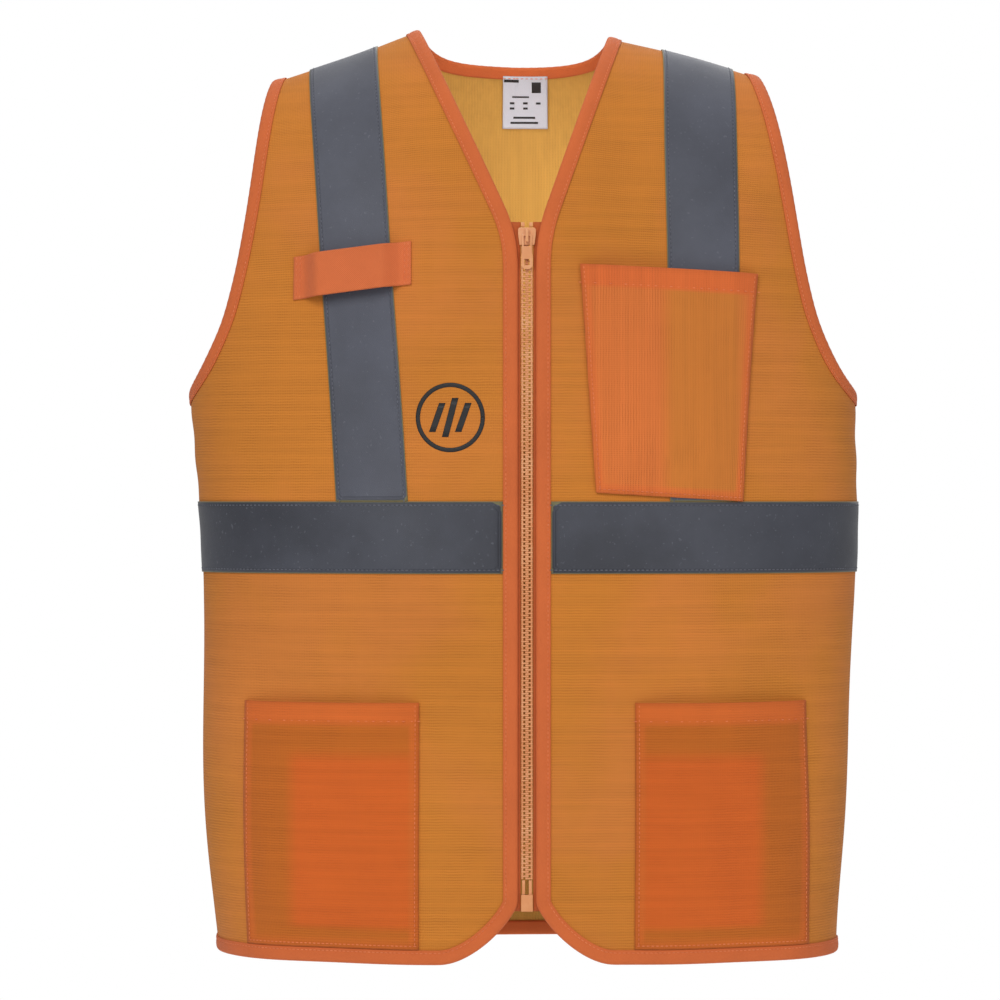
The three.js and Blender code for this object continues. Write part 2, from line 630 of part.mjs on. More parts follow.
function addSlider() {
  const top = SLIDER_FOOT + SLIDER_LENGTH;
  const outline = sliderOutline();
  const front = plate(outline, ZIP_Y - PLATE_INNER - SLIDER_PLATE, ZIP_Y - PLATE_INNER);
  const back = plate(outline, ZIP_Y + PLATE_INNER, ZIP_Y + PLATE_INNER + SLIDER_PLATE);
  const diamond = bar(0, DIAMOND_WIDTH, top - 6, top - 1, PLATE_INNER + 0.5);
  let body = front.add(back).add(diamond);
  const railX = BEAD_OUTER + SLIDER_PLAY;
  const slot = TRIM / 2 + 0.5;
  for (const sign of Object.values(SIDES)) {
    const rail = rectangle(sign * (railX + 0.3), 0.6, SLIDER_FOOT, top - 2);
    body = body.add(plate(rail, ZIP_Y - PLATE_INNER - 0.5, ZIP_Y - slot));
    body = body.add(plate(rail, ZIP_Y + slot, ZIP_Y + PLATE_INNER + 0.5));
  }
  const face = ZIP_Y - PLATE_INNER - SLIDER_PLATE;
  const crown = PULL_Y - BAR_PLAY;
  const [bridgeFoot, bridgeTop] = [PULL_PIVOT - 4.5, PULL_PIVOT + 4.5];
  const legs = [bridgeFoot + 0.75, bridgeTop - 0.75].map((height) => (
    plate(rectangle(0, BRIDGE_WIDTH, height - 0.75, height + 0.75), crown - 0.5, face + 0.5)
  ));
  body = body.add(legs[0]).add(legs[1]);
  body = body.add(plate(rectangle(0, BRIDGE_WIDTH, bridgeFoot, bridgeTop), crown - 1, crown));
  addPiece('slider', body, 'zipPlastic');
}

function addPull() {
  const half = PULL_THICKNESS / 2;
  const top = PULL_PIVOT + half;
  const foot = top - PULL_LENGTH;
  const neck = PULL_WIDTH / 2 - 0.6;
  const wide = PULL_WIDTH / 2;
  const outline = [
    flatPoint(-neck, top), flatPoint(-neck, foot + 12), flatPoint(-wide, foot + 9),
    flatPoint(-wide, foot + 2), flatPoint(-wide + 2, foot), flatPoint(wide - 2, foot),
    flatPoint(wide, foot + 2), flatPoint(wide, foot + 9), flatPoint(neck, foot + 12), flatPoint(neck, top),
  ];
  const eye = rectangle(0, 2 * (neck - 1.2), PULL_PIVOT - half - PULL_EYE, PULL_PIVOT - half);
  const grip = rectangle(0, PULL_WIDTH - 4.4, foot + 2.6, foot + 7);
  addPiece('pull_tab', plate(outline, PULL_Y - half, PULL_Y + half, [eye, grip]), 'zipPlastic');
}

addShell();
addBindings();
addTapes();
addPockets();
addRadioTab();
addLabel();
addZipHalves();
addZipFoot();
addSlider();
addPull();
vest.position.z = -LENGTH;

export default vest;
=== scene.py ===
"""A sleeveless high visibility vest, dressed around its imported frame.

Metres. +X is the wearer's left, -Y the front and +Z up. The origin lies between the shoulders.
Every cloth piece is a layer of one torso surface, so neighbouring layers keep their distance.
"""

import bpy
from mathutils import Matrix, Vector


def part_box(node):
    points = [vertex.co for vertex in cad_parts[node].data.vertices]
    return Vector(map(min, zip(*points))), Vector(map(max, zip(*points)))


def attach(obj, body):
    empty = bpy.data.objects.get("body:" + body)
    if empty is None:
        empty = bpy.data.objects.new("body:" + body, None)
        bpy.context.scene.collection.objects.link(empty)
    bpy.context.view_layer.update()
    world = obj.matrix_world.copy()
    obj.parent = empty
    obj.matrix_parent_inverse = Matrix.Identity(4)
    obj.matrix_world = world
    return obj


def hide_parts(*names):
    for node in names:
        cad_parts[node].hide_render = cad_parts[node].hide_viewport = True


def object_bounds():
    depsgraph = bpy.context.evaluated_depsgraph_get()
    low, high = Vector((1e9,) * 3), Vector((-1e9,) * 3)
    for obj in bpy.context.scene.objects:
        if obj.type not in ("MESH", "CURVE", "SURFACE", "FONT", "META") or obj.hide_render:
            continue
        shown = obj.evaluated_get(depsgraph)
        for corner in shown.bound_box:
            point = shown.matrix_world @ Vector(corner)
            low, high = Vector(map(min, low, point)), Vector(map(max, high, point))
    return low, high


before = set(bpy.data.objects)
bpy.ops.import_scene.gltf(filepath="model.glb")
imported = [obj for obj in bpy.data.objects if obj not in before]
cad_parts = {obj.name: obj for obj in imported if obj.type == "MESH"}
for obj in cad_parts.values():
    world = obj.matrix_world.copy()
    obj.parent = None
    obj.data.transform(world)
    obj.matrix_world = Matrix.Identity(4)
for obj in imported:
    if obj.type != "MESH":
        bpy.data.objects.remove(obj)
CAD_BOX = [list(corner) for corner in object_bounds()]

import logging
import math
from collections.abc import Callable, Sequence
from dataclasses import dataclass, field
from enum import Enum, IntEnum, StrEnum

import bmesh
import bpy
import numpy as np
from mathutils import Vector

log = logging.getLogger("vest")
MM = 0.001
TURN = 2 * math.pi
EdgeLine = Callable[[np.ndarray], np.ndarray]
Corners = list[tuple[float, float]]
Colour = tuple[float, float, float]
Faces = list[tuple[int, ...]]


class Face(IntEnum):
    """Half of the torso that a piece lies on, valued as the sign of its y."""

    FRONT = -1
    BACK = 1

    @property
    def word(self) -> str:
        """Its word in the names of nodes and pieces."""
        return self.name.lower()


class Side(StrEnum):
    """Side of the wearer, valued as its word in the names of nodes and pieces."""

    RIGHT = "right"
    LEFT = "left"

    @property
    def sign(self) -> int:
        """Sign of x on this side."""
        return 1 if self is Side.LEFT else -1


def low(node: str) -> np.ndarray:
    """Lowest corner of a frame node."""
    return np.array(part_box(node)[0], float)


def high(node: str) -> np.ndarray:
    """Highest corner of a frame node."""
    return np.array(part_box(node)[1], float)


def smooth_step(value: np.ndarray, start: float, end: float) -> np.ndarray:
    """Ease from 0 at start to 1 at end."""
    share = np.clip((value - start) / (end - start), 0.0, 1.0)
    return share * share * (3.0 - 2.0 * share)


def unit(vectors: np.ndarray) -> np.ndarray:
    """The same directions with length one."""
    return vectors / np.maximum(np.linalg.norm(vectors, axis=-1, keepdims=True), 1e-12)


def level(z: float) -> EdgeLine:
    """Edge at one level, whatever x is."""
    return lambda x: np.full(x.shape, z)


def straight_line(start: Sequence[float], end: Sequence[float]) -> np.ndarray:
    """Dense straight line between two (x, z) points."""
    return np.linspace(start, end, 120)


def corners_of(node: str, narrowing: float = 0.0, tilt: float = 0.0) -> Corners:
    """Corners of a frame node's box as seen from the front.

    Args:
        node: the frame node.
        narrowing: share of the width by which the foot is narrower than the top.
        tilt: how far the foot's start is raised and the top's end lowered.

    Returns:
        Four (x, z) corners: foot start, foot end, top end and top start.
    """
    start, end = low(node), high(node)
    inset = narrowing * (end[0] - start[0]) / 2
    return [(start[0] + inset, start[2] + tilt), (end[0] - inset, start[2]),
            (end[0], end[2] - tilt), (start[0], end[2])]


def bezier(points: Sequence[tuple[float, float]], steps: int) -> np.ndarray:
    """Points along a cubic curve.

    Args:
        points: the start, the two handles and the end.
        steps: number of stretches.

    Returns:
        An array of (x, z) rows.
    """
    a, b, c, d = (np.array(p, float) for p in points)
    t = np.linspace(0.0, 1.0, steps + 1)[:, None]
    return (1 - t) ** 3 * a + 3 * (1 - t) ** 2 * t * b + 3 * (1 - t) * t ** 2 * c + t ** 3 * d


# Torso surface ------------------------------------------------------------------------------------

@dataclass(frozen=True)
class Torso:
    """Surface that the cloth follows, with the outlines that cut it.

    A level section is half a superellipse on each face, and each face rolls over to the shoulder seam
    in a quarter turn. The waves are the soft folds of the worn cloth, each as high as a share of its span.
    """

    length: float = -float(low("back_hem_binding")[2])
    chest_half: float = 236 * MM
    hem_half: float = 222 * MM
    front_depth: float = 112 * MM
    back_depth: float = 100 * MM
    front_roll: float = 150 * MM
    back_roll: float = 110 * MM
    slope: float = 0.3
    squareness: float = 2.4
    neck_half: float = 68 * MM
    neck_shift: float = -8 * MM
    shoulder: float = 104 * MM
    armpit: float = -256 * MM
    v_foot: float = -148 * MM
    v_rounding: float = 20 * MM
    back_neck_drop: float = 14 * MM
    zip_edge: float = 7.5 * MM
    corner_width: float = 53 * MM
    corner_height: float = 42 * MM
    hem_line: float = 1 * MM
    armhole_waist: dict[Side, float] = field(
        default_factory=lambda: {Side.RIGHT: 194 * MM, Side.LEFT: 187 * MM})
    armhole_back_inset: float = 9 * MM
    roll_stretch: float = 1.15
    wave_count: int = 14
    wave_spans: tuple[float, float] = (55 * MM, 240 * MM)
    wave_ways: tuple[float, float, float] = (1.0, 0.7, 0.55)
    wave_height: float = 0.0042
    arm_crease: float = 0.4 * MM
    arm_crease_pitch: float = 34 * MM
    hem_flare: float = 1.4 * MM
    hem_flare_pitch: float = 93 * MM
    side_seam_dip: float = 0.5 * MM
    seed: int = 5

    @property
    def hem(self) -> float:
        """Level of the cloth's lower edge."""
        return self.hem_line - self.length

    def below_armpit(self, z: np.ndarray) -> np.ndarray:
        """Share of the way down from the armpit to the hem."""
        return 1 - np.clip((z + self.length) / (self.armpit + self.length), 0.0, 1.0)

    def half_width(self, z: np.ndarray) -> np.ndarray:
        """Half the torso's width at a level."""
        return self.hem_half + (self.chest_half - self.hem_half) * (1 - self.below_armpit(z) ** 2)

    def half_width_slope(self, z: np.ndarray) -> np.ndarray:
        """Change of the half width with height."""
        return (self.chest_half - self.hem_half) * 2 * self.below_armpit(z) / (self.armpit + self.length)

    def ridge(self, x: np.ndarray) -> np.ndarray:
        """Level of the shoulder seam."""
        return -self.slope * (np.abs(x - self.neck_shift) - self.neck_half)

    def drape(self, place: np.ndarray) -> np.ndarray:
        """Gentle folds of the worn cloth, as a distance along the normal.

        Args:
            place: points of the plain surface.

        Returns:
            One distance for each point, none beside the zip.
        """
        random = np.random.default_rng(self.seed)
        x, y, z = np.moveaxis(place, -1, 0)
        out = np.abs(x)
        total = np.zeros(x.shape)
        for _ in range(self.wave_count):
            span = random.uniform(*self.wave_spans)
            way = unit(random.normal(size=3) * self.wave_ways)
            phase = random.uniform(0, TURN)
            total += self.wave_height * span * np.sin((place @ way) * TURN / span + phase)
        arm_level = np.exp(-((z - self.armpit + 20 * MM) / (75 * MM)) ** 2)
        below_arm = arm_level * smooth_step(out, 130 * MM, 220 * MM)
        total += self.arm_crease * below_arm * np.sin(TURN * (z + 0.6 * out) / self.arm_crease_pitch)
        flare = 1 - smooth_step(z, self.hem, self.hem + 160 * MM)
        total += self.hem_flare * flare * np.sin(TURN * x / self.hem_flare_pitch + 1.1)
        in_front = smooth_step(-y, 0.0, 30 * MM)
        beside_zip = smooth_step(out, 17 * MM, 75 * MM)
        side_seam = np.exp(-(y / (3.5 * MM)) ** 2) * smooth_step(out, 150 * MM, 200 * MM)
        return total * (1 - in_front * (1 - beside_zip)) - self.side_seam_dip * side_seam

    def depth_and_roll(self, face: Face) -> tuple[float, float]:
        """Depth of one half of the torso, and the height of its roll over the shoulder."""
        front, back = (self.front_depth, self.front_roll), (self.back_depth, self.back_roll)
        return front if face is Face.FRONT else back

    def site(self, x: np.ndarray, z: np.ndarray, face: Face) -> tuple[np.ndarray, np.ndarray]:
        """Places and outward normals of the surface.

        Args:
            x: distances to the wearer's left.
            z: levels.
            face: the front or the back.

        Returns:
            Two arrays of points and unit normals.
        """
        x, z = np.broadcast_arrays(np.asarray(x, float), np.asarray(z, float))
        depth, roll = self.depth_and_roll(face)
        n = self.squareness
        half = self.half_width(z)
        across = np.clip(np.abs(x) / half, 0.0, 1.0)
        rest = np.maximum(1 - across ** n, 0.0)
        ridge = self.ridge(x)
        cosine = np.clip(1 - (ridge - z) / roll, 0.0, 1.0)
        turn = np.sqrt(np.maximum(1 - cosine ** 2, 0.0))
        ridge_slope = -self.slope * np.sign(x - self.neck_shift)
        inside = np.clip(x, -half, half)
        place = np.stack([inside, face * depth * rest ** (1 / n) * turn, np.minimum(z, ridge)], axis=-1)
        normal = np.stack([
            turn ** 2 * across ** (n - 1) * np.sign(x) / half - rest * cosine * ridge_slope / roll,
            face * turn * rest ** ((n - 1) / n) / depth,
            -turn ** 2 * across ** n * self.half_width_slope(z) / half + rest * cosine / roll,
        ], axis=-1)
        return place, unit(normal)

    def at(self, x: np.ndarray, z: np.ndarray, face: Face, out: np.ndarray | float = 0.0) -> np.ndarray:
        """Places at a distance out from the draped surface.

        Args:
            x: distances to the wearer's left.
            z: levels.
            face: the front or the back.
            out: distances along the normal.

        Returns:
            An array of points.
        """
        place, normal = self.site(x, z, face)
        reach = np.asarray(out, float) + self.drape(place)
        return place + normal * reach[..., None]

    def height(self, x: np.ndarray, z: np.ndarray, face: Face) -> np.ndarray:
        """Length of cloth from the hem up to a site: straight at first, then round the shoulder.

        Args:
            x: distances to the wearer's left.
            z: levels.
            face: the front or the back.

        Returns:
            One length for each site.
        """
        _, roll = self.depth_and_roll(face)
        turn_start = self.ridge(x) - roll
        turned = np.arcsin(np.clip((z - turn_start) / roll, 0.0, 1.0))
        return np.minimum(z, turn_start) + self.length + self.roll_stretch * roll * turned

    def angle(self, share: np.ndarray) -> np.ndarray:
        """Angle round the section at a share of its half width."""
        return np.sign(share) * np.arcsin(np.clip(np.abs(share), 0, 1) ** (self.squareness / 2))

    def across(self, angle: np.ndarray) -> np.ndarray:
        """Share of the half width at an angle round the section."""
        return np.sign(angle) * np.abs(np.sin(angle)) ** (2 / self.squareness)

    def level_line(self, z: float, start: float, end: float, steps: int = 400) -> np.ndarray:
        """Level line, dense where the side turns away.

        Args:
            z: its level.
            start: x of its first point.
            end: x of its last point.
            steps: number of points.

        Returns:
            An array of (x, z) rows.
        """
        half = float(self.half_width(np.array(z)))
        ends = self.angle(np.array([start / half, end / half]))
        x = half * self.across(np.linspace(ends[0], ends[1], steps))
        return np.stack([x, np.full(steps, z)], axis=-1)

    # Outlines ---------------------------------------------------------------------------------

    def neck_x(self, side: Side) -> float:
        """Place of a neck point."""
        return self.neck_shift + side.sign * self.neck_half

    def front_edge(self, side: Side) -> np.ndarray:
        """Inner edge of a front: rounded corner, zip and V.

        Args:
            side: the front.

        Returns:
            (x, z) rows from the hem up to the neck point.
        """
        sign, edge, hem = side.sign, self.zip_edge, self.hem
        corner = bezier([
            (sign * (edge + self.corner_width), hem),
            (sign * (edge + 0.66 * self.corner_width), hem),
            (sign * (edge + 0.18 * self.corner_width), 0.52 * self.corner_height - self.length),
            (sign * edge, self.corner_height - self.length)], 40)
        neck = self.neck_x(side)
        turn = np.array((sign * edge, self.v_foot))
        tip = np.array((neck, float(self.ridge(np.array(neck)))))
        before = turn - (0.0, self.v_rounding)
        after = turn + (tip - turn) * self.v_rounding / -self.v_foot
        zip_run = np.linspace((sign * edge, self.corner_height - self.length), before, 60)
        curve = bezier([before, (before + 2 * turn) / 3, (after + 2 * turn) / 3, after], 20)
        v_run = np.linspace(after, tip, 60)
        return np.concatenate([corner, zip_run[1:], curve[1:], v_run[1:]])

    def armhole(self, side: Side, face: Face) -> np.ndarray:
        """Edge of an armhole.

        Args:
            side: the arm.
            face: the front or the back.

        Returns:
            (x, z) rows from the shoulder tip down to the armpit.
        """
        sign = side.sign
        waist = self.armhole_waist[side] - (self.armhole_back_inset if face is Face.BACK else 0.0)
        tip = self.neck_shift + sign * (self.neck_half + self.shoulder)
        top = float(self.ridge(np.array(tip)))
        span = top - self.armpit
        return bezier([
            (tip, top), (sign * (waist + 3 * MM), self.armpit + 0.72 * span),
            (sign * waist, self.armpit + 0.2 * span), (sign * (self.chest_half + MM), self.armpit)], 240)

    def back_neck(self) -> np.ndarray:
        """Edge of the back of the neck.

        Returns:
            (x, z) rows from right to left.
        """
        right, left, floor = self.neck_x(Side.RIGHT), self.neck_x(Side.LEFT), -self.back_neck_drop
        middle = (self.neck_shift, floor)
        falling = bezier([(right, 0), (right + 12 * MM, floor), (right + 24 * MM, floor), middle], 80)
        rising = bezier([middle, (left - 24 * MM, floor), (left - 12 * MM, floor), (left, 0)], 80)
        return np.concatenate([falling, rising[1:]])

    def inner_line(self, side: Side) -> EdgeLine:
        """Inner edge of a front, as x at a level."""
        line = self.front_edge(side)
        return lambda z: np.interp(z, line[:, 1], line[:, 0])

    def outer_line(self, side: Side, face: Face) -> EdgeLine:
        """Outer edge of a front or the back: side seam, then armhole.

        Args:
            side: the side of the wearer.
            face: the front or the back.

        Returns:
            The edge, as x at a level.
        """
        line = self.armhole(side, face)[::-1]
        sign = side.sign

        def x_at(z: np.ndarray) -> np.ndarray:
            """x of the edge at a level."""
            arm = np.interp(z, line[:, 1], line[:, 0])
            return np.where(z <= self.armpit, sign * self.half_width(z), arm)
        return x_at

    def back_top(self, x: np.ndarray) -> np.ndarray:
        """Upper edge of the back: neck scoop between the two shoulder seams.

        Args:
            x: distances to the wearer's left.

        Returns:
            One level for each.
        """
        line = self.back_neck()
        scoop = np.interp(x, line[:, 0], line[:, 1])
        inside = np.abs(x - self.neck_shift) < self.neck_half
        return np.where(inside, scoop, self.ridge(x))


@dataclass
class Patch:
    """Grid of (x, z) sites on one face of the torso."""

    face: Face
    x: np.ndarray
    z: np.ndarray


@dataclass(frozen=True)
class Cutter:
    """Lays patches on the torso."""

    torso: Torso
    passes: int = 24

    def between(self, face: Face, left: EdgeLine, right: EdgeLine, foot: EdgeLine, top: EdgeLine,
                up: np.ndarray, over: np.ndarray) -> Patch:
        """Patch between two side edges and two end edges.

        Args:
            face: the front or the back.
            left: x of one side edge at a level.
            right: x of the other side edge at a level.
            foot: level of the lower edge at x.
            top: level of the upper edge at x.
            up: shares of the height, from 0 to 1, or on to 2 where 1 stands for the armpit.
            over: shares of the width, from 0 to 1.

        Returns:
            The patch, its rows spaced along the cloth by these shares.
        """
        t = self.torso
        _, roll = t.depth_and_roll(face)
        stretch = t.roll_stretch * roll
        up, over = up[:, None], over[None, :]
        in_two = up.max() > 1
        x = np.zeros((up.size, over.size))
        z = foot(x) + up / up.max() * (top(x) - foot(x))
        for _ in range(self.passes):
            half = t.half_width(z)
            start, end = t.angle(left(z) / half), t.angle(right(z) / half)
            x = half * t.across(start + (end - start) * over)
            head = x[-1:, :]
            ridge, base, crown = t.ridge(head), foot(x[:1, :]), top(head)
            straight = np.maximum(np.minimum(crown, ridge - roll) - base, 0)
            last = np.arccos(np.clip(1 - (ridge - crown) / roll, 0, 1))
            run = straight + (math.pi / 2 - last) * stretch
            if in_two:
                lower = t.armpit - base
                run = np.minimum(up, 1) * lower + np.maximum(up - 1, 0) * (run - lower)
            else:
                run = up * run
            bent = ridge - roll * (1 - np.cos(math.pi / 2 - (run - straight) / stretch))
            z = (z + np.where(run <= straight, base + run, bent)) / 2
        return Patch(face, x, z)

    def quad(self, face: Face, corners: Corners, rows: int, columns: int) -> Patch:
        """Patch inside four corners.

        Args:
            face: the front or the back.
            corners: (x, z) of the foot's start and end, then the top's end and start.
            rows: number of rows of sites.
            columns: number of sites in a row.

        Returns:
            The patch.
        """
        a, b, c, d = (np.array(p, float) for p in corners)
        up = np.linspace(0, 1, rows)[:, None, None]
        over = np.linspace(0, 1, columns)[None, :, None]
        spot = (a * (1 - over) + b * over) * (1 - up) + (d * (1 - over) + c * over) * up
        return Patch(face, spot[..., 0], spot[..., 1])

    def trace(self, line: np.ndarray, face: Face, step: float) -> np.ndarray:
        """Spaces a line's points evenly along the cloth.

        Args:
            line: (x, z) rows.
            face: the front or the back.
            step: distance between two points, about.

        Returns:
            (x, z) rows along the same line.
        """
        place = self.torso.at(line[:, 0], line[:, 1], face)
        run = np.concatenate([[0], np.cumsum(np.linalg.norm(np.diff(place, axis=0), axis=1))])
        marks = np.linspace(0, run[-1], max(int(run[-1] / step), 2))
        return np.stack([np.interp(marks, run, line[:, k]) for k in (0, 1)], axis=-1)


# Meshes -------------------------------------------------------------------------------------------

@dataclass
class Shape:
    """Vertices and faces collected for one piece, with each vertex's place in the cloth."""

    points: list[np.ndarray] = field(default_factory=list)
    faces: Faces = field(default_factory=list)
    cloth: list[np.ndarray] = field(default_factory=list)
    doubled: list[np.ndarray] = field(default_factory=list)
    count: int = 0

    def add(self, points: np.ndarray, faces: Sequence[Sequence[int]], cloth: np.ndarray | None = None,
            doubled: np.ndarray | None = None) -> None:
        """Adds a closed form.

        Args:
            points: its vertices.
            faces: its faces, counted from its own first vertex.
            cloth: (along, up, from the edge) of each vertex, or None.
            doubled: share of a second layer at each vertex, or None.
        """
        points = np.asarray(points, float).reshape(-1, 3)
        self.points.append(points)
        self.cloth.append(points if cloth is None else np.asarray(cloth, float).reshape(-1, 3))
        self.doubled.append(np.zeros(len(points)) if doubled is None else doubled.ravel())
        self.faces.extend(tuple(int(i) + self.count for i in f) for f in faces)
        self.count += len(points)

    def piece(self, name: str, material: bpy.types.Material, body: str = "vest") -> bpy.types.Object:
        """Makes the object, dresses it and lets it ride on its body.

        Args:
            name: the piece's name.
            material: its finish.
            body: the body that it rides on.

        Returns:
            The object.
        """
        mesh = bpy.data.meshes.new(name)
        points = np.concatenate(self.points)
        mesh.from_pydata(points.tolist(), [], self.faces)
        mesh.attributes.new("cloth", "FLOAT_VECTOR", "POINT")
        mesh.attributes["cloth"].data.foreach_set("vector", np.concatenate(self.cloth).ravel())
        mesh.attributes.new("doubled", "FLOAT", "POINT")
        mesh.attributes["doubled"].data.foreach_set("value", np.concatenate(self.doubled))
        mesh.polygons.foreach_set("use_smooth", [True] * len(mesh.polygons))
        shell = bmesh.new()
        shell.from_mesh(mesh)
        bmesh.ops.recalc_face_normals(shell, faces=shell.faces)
        shell.to_mesh(mesh)
        shell.free()
        mesh.update()
        made = bpy.data.objects.new(name, mesh)
        bpy.context.scene.collection.objects.link(made)
        made.data.materials.append(material)
        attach(made, body)
        log.info("%s: %d faces", name, len(mesh.polygons))
        return made


def grid_faces(rows: int, columns: int) -> Faces:
    """Quads of a grid of vertices."""
    return [(r * columns + c, r * columns + c + 1, (r + 1) * columns + c + 1, (r + 1) * columns + c)
            for r in range(rows - 1) for c in range(columns - 1)]


def grid_rim(rows: int, columns: int) -> list[int]:
    """Border of a grid of vertices.

    Args:
        rows: its rows.
        columns: its columns.

    Returns:
        The border's vertices, in order round it.
    """
    bottom = list(range(columns))
    right = [r * columns + columns - 1 for r in range(1, rows)]
    top = [(rows - 1) * columns + c for c in range(columns - 2, -1, -1)]
    left = [r * columns for r in range(rows - 2, 0, -1)]
    return bottom + right + top + left


@dataclass(frozen=True)
class Tailor:
    """Turns patches and lines into cloth, binding and thread.

    The binding's seam lies at a share of its width in from the cloth's edge. Its stitches are collected
    in thread.
    """

    cutter: Cutter
    binding_width: float = 9 * MM
    binding_step: float = 2.2 * MM
    binding_seam: float = 0.78
    binding_seam_out: float = 1.05 * MM
    pucker: float = 0.13 * MM
    stitch_pitch: float = 3.1 * MM
    stitch_length: float = 2.3 * MM
    stitch_half: float = 0.32 * MM
    thread: Shape = field(default_factory=Shape)

    def along(self, x: np.ndarray, run: np.ndarray) -> np.ndarray:
        """Counts lengths along the rows of a patch from the body's middle line.

        Args:
            x: each site's distance to the wearer's left.
            run: each site's length from the start of its row.

        Returns:
            The lengths counted from the middle line.
        """
        if x.min() < 0 < x.max():
            middle = np.array([np.interp(0.0, row, lengths) for row, lengths in zip(x, run)])
            return run - middle[:, None]
        return run + np.abs(x[:, :1])

    def slab(self, shape: Shape, patch: Patch, inner: np.ndarray | float, outer: np.ndarray | float,
             doubled: np.ndarray | float = 0.0) -> tuple[float, float, float]:
        """Adds a thin sheet between two distances from the surface.

        Args:
            shape: where it is added.
            patch: its sites.
            inner: distance of its inner face.
            outer: distance of its outer face.
            doubled: share of a second layer at each site.

        Returns:
            Its greatest width, its greatest height and its area, laid flat.
        """
        torso = self.cutter.torso
        rows, columns = patch.x.shape
        layers = [torso.at(patch.x, patch.z, patch.face, out) for out in (outer, inner)]
        middle = (layers[0] + layers[1]) / 2
        over = np.linalg.norm(np.diff(middle, axis=1), axis=2)
        up = np.linalg.norm(np.diff(middle, axis=0), axis=2)
        u = np.concatenate([np.zeros((rows, 1)), np.cumsum(over, axis=1)], axis=1)
        v = np.concatenate([np.zeros((1, columns)), np.cumsum(up, axis=0)], axis=0)
        edge = np.minimum(np.minimum(u, u[:, -1:] - u), np.minimum(v, v[-1:, :] - v))
        height = torso.height(patch.x, patch.z, patch.face)
        cloth = np.stack([self.along(patch.x, u), height, edge], axis=-1).reshape(-1, 3)
        folds = np.broadcast_to(doubled, patch.x.shape).ravel()
        quads = grid_faces(rows, columns)
        size = rows * columns
        faces = list(quads) + [tuple(size + i for i in reversed(q)) for q in quads]
        rim = grid_rim(rows, columns)
        faces += [(a, a + size, b + size, b) for a, b in zip(rim, rim[1:] + rim[:1])]
        shape.add(np.concatenate([layer.reshape(-1, 3) for layer in layers]), faces,
                  np.concatenate([cloth, cloth * (1, 1, -1)]), np.concatenate([folds, folds]))
        cross = np.cross(middle[1:, :-1] - middle[:-1, :-1], middle[:-1, 1:] - middle[:-1, :-1])
        area = float(np.linalg.norm(cross, axis=2).sum())
        return float(u[:, -1].max()), float(v[-1].max()), area

    def seam(self, shape: Shape, line: np.ndarray, face: Face, out: float) -> None:
        """Adds a run of stitches along a line.

        Args:
            shape: where they are added.
            line: (x, z) points, dense.
            face: the front or the back.
            out: distance of the thread from the surface.
        """
        torso = self.cutter.torso
        sites = self.cutter.trace(line, face, self.stitch_pitch)
        place = torso.at(sites[:, 0], sites[:, 1], face, out)
        if len(place) < 3:
            return
        along = unit(np.gradient(place, axis=0))
        normal = torso.site(sites[:, 0], sites[:, 1], face)[1] * (1 if out >= 0 else -1)
        across = np.cross(along, normal)
        reach, half, shoulder = self.stitch_length / 2, self.stitch_half, 0.55
        corners = [(1, 0), (0, 1), (-1, 0), (0, -1)]
        near, far = ([(way * shoulder, j, k) for j, k in corners] for way in (-1, 1))
        template = [(-1, 0, 0), *near, *far, (1, 0, 0)]
        ring = [(1 + i, 1 + (i + 1) % 4) for i in range(4)]
        faces = [(0, b, a) for a, b in ring] + [(a, b, b + 4, a + 4) for a, b in ring]
        faces += [(a + 4, b + 4, 9) for a, b in ring]
        for centre, e, s, n in zip(place, along, across, normal):
            points = [centre + e * (i * reach) + s * (j * half) + n * (k * half) for i, j, k in template]
            shape.add(np.array(points), faces)

    def fold(self, shape: Shape, line: np.ndarray, face: Face, cloth_side: int) -> None:
        """Adds a folded binding along an edge: a leg on each face of the cloth, a round bridge outside.

        Args:
            shape: where it is added.
            line: (x, z) points along the cloth's edge.
            face: the front or the back.
            cloth_side: 1 where the cloth is on the left of the line as seen from outside, else -1.
        """
        torso = self.cutter.torso
        sites = self.cutter.trace(line, face, self.binding_step)
        for _ in range(2):
            inner = (sites[:-2] + 2 * sites[1:-1] + sites[2:]) / 4
            sites = np.concatenate([sites[:1], inner, sites[-1:]])
        place, normal = torso.site(sites[:, 0], sites[:, 1], face)
        inward = np.cross(normal, unit(np.gradient(place, axis=0))) * cloth_side
        wide = self.binding_width
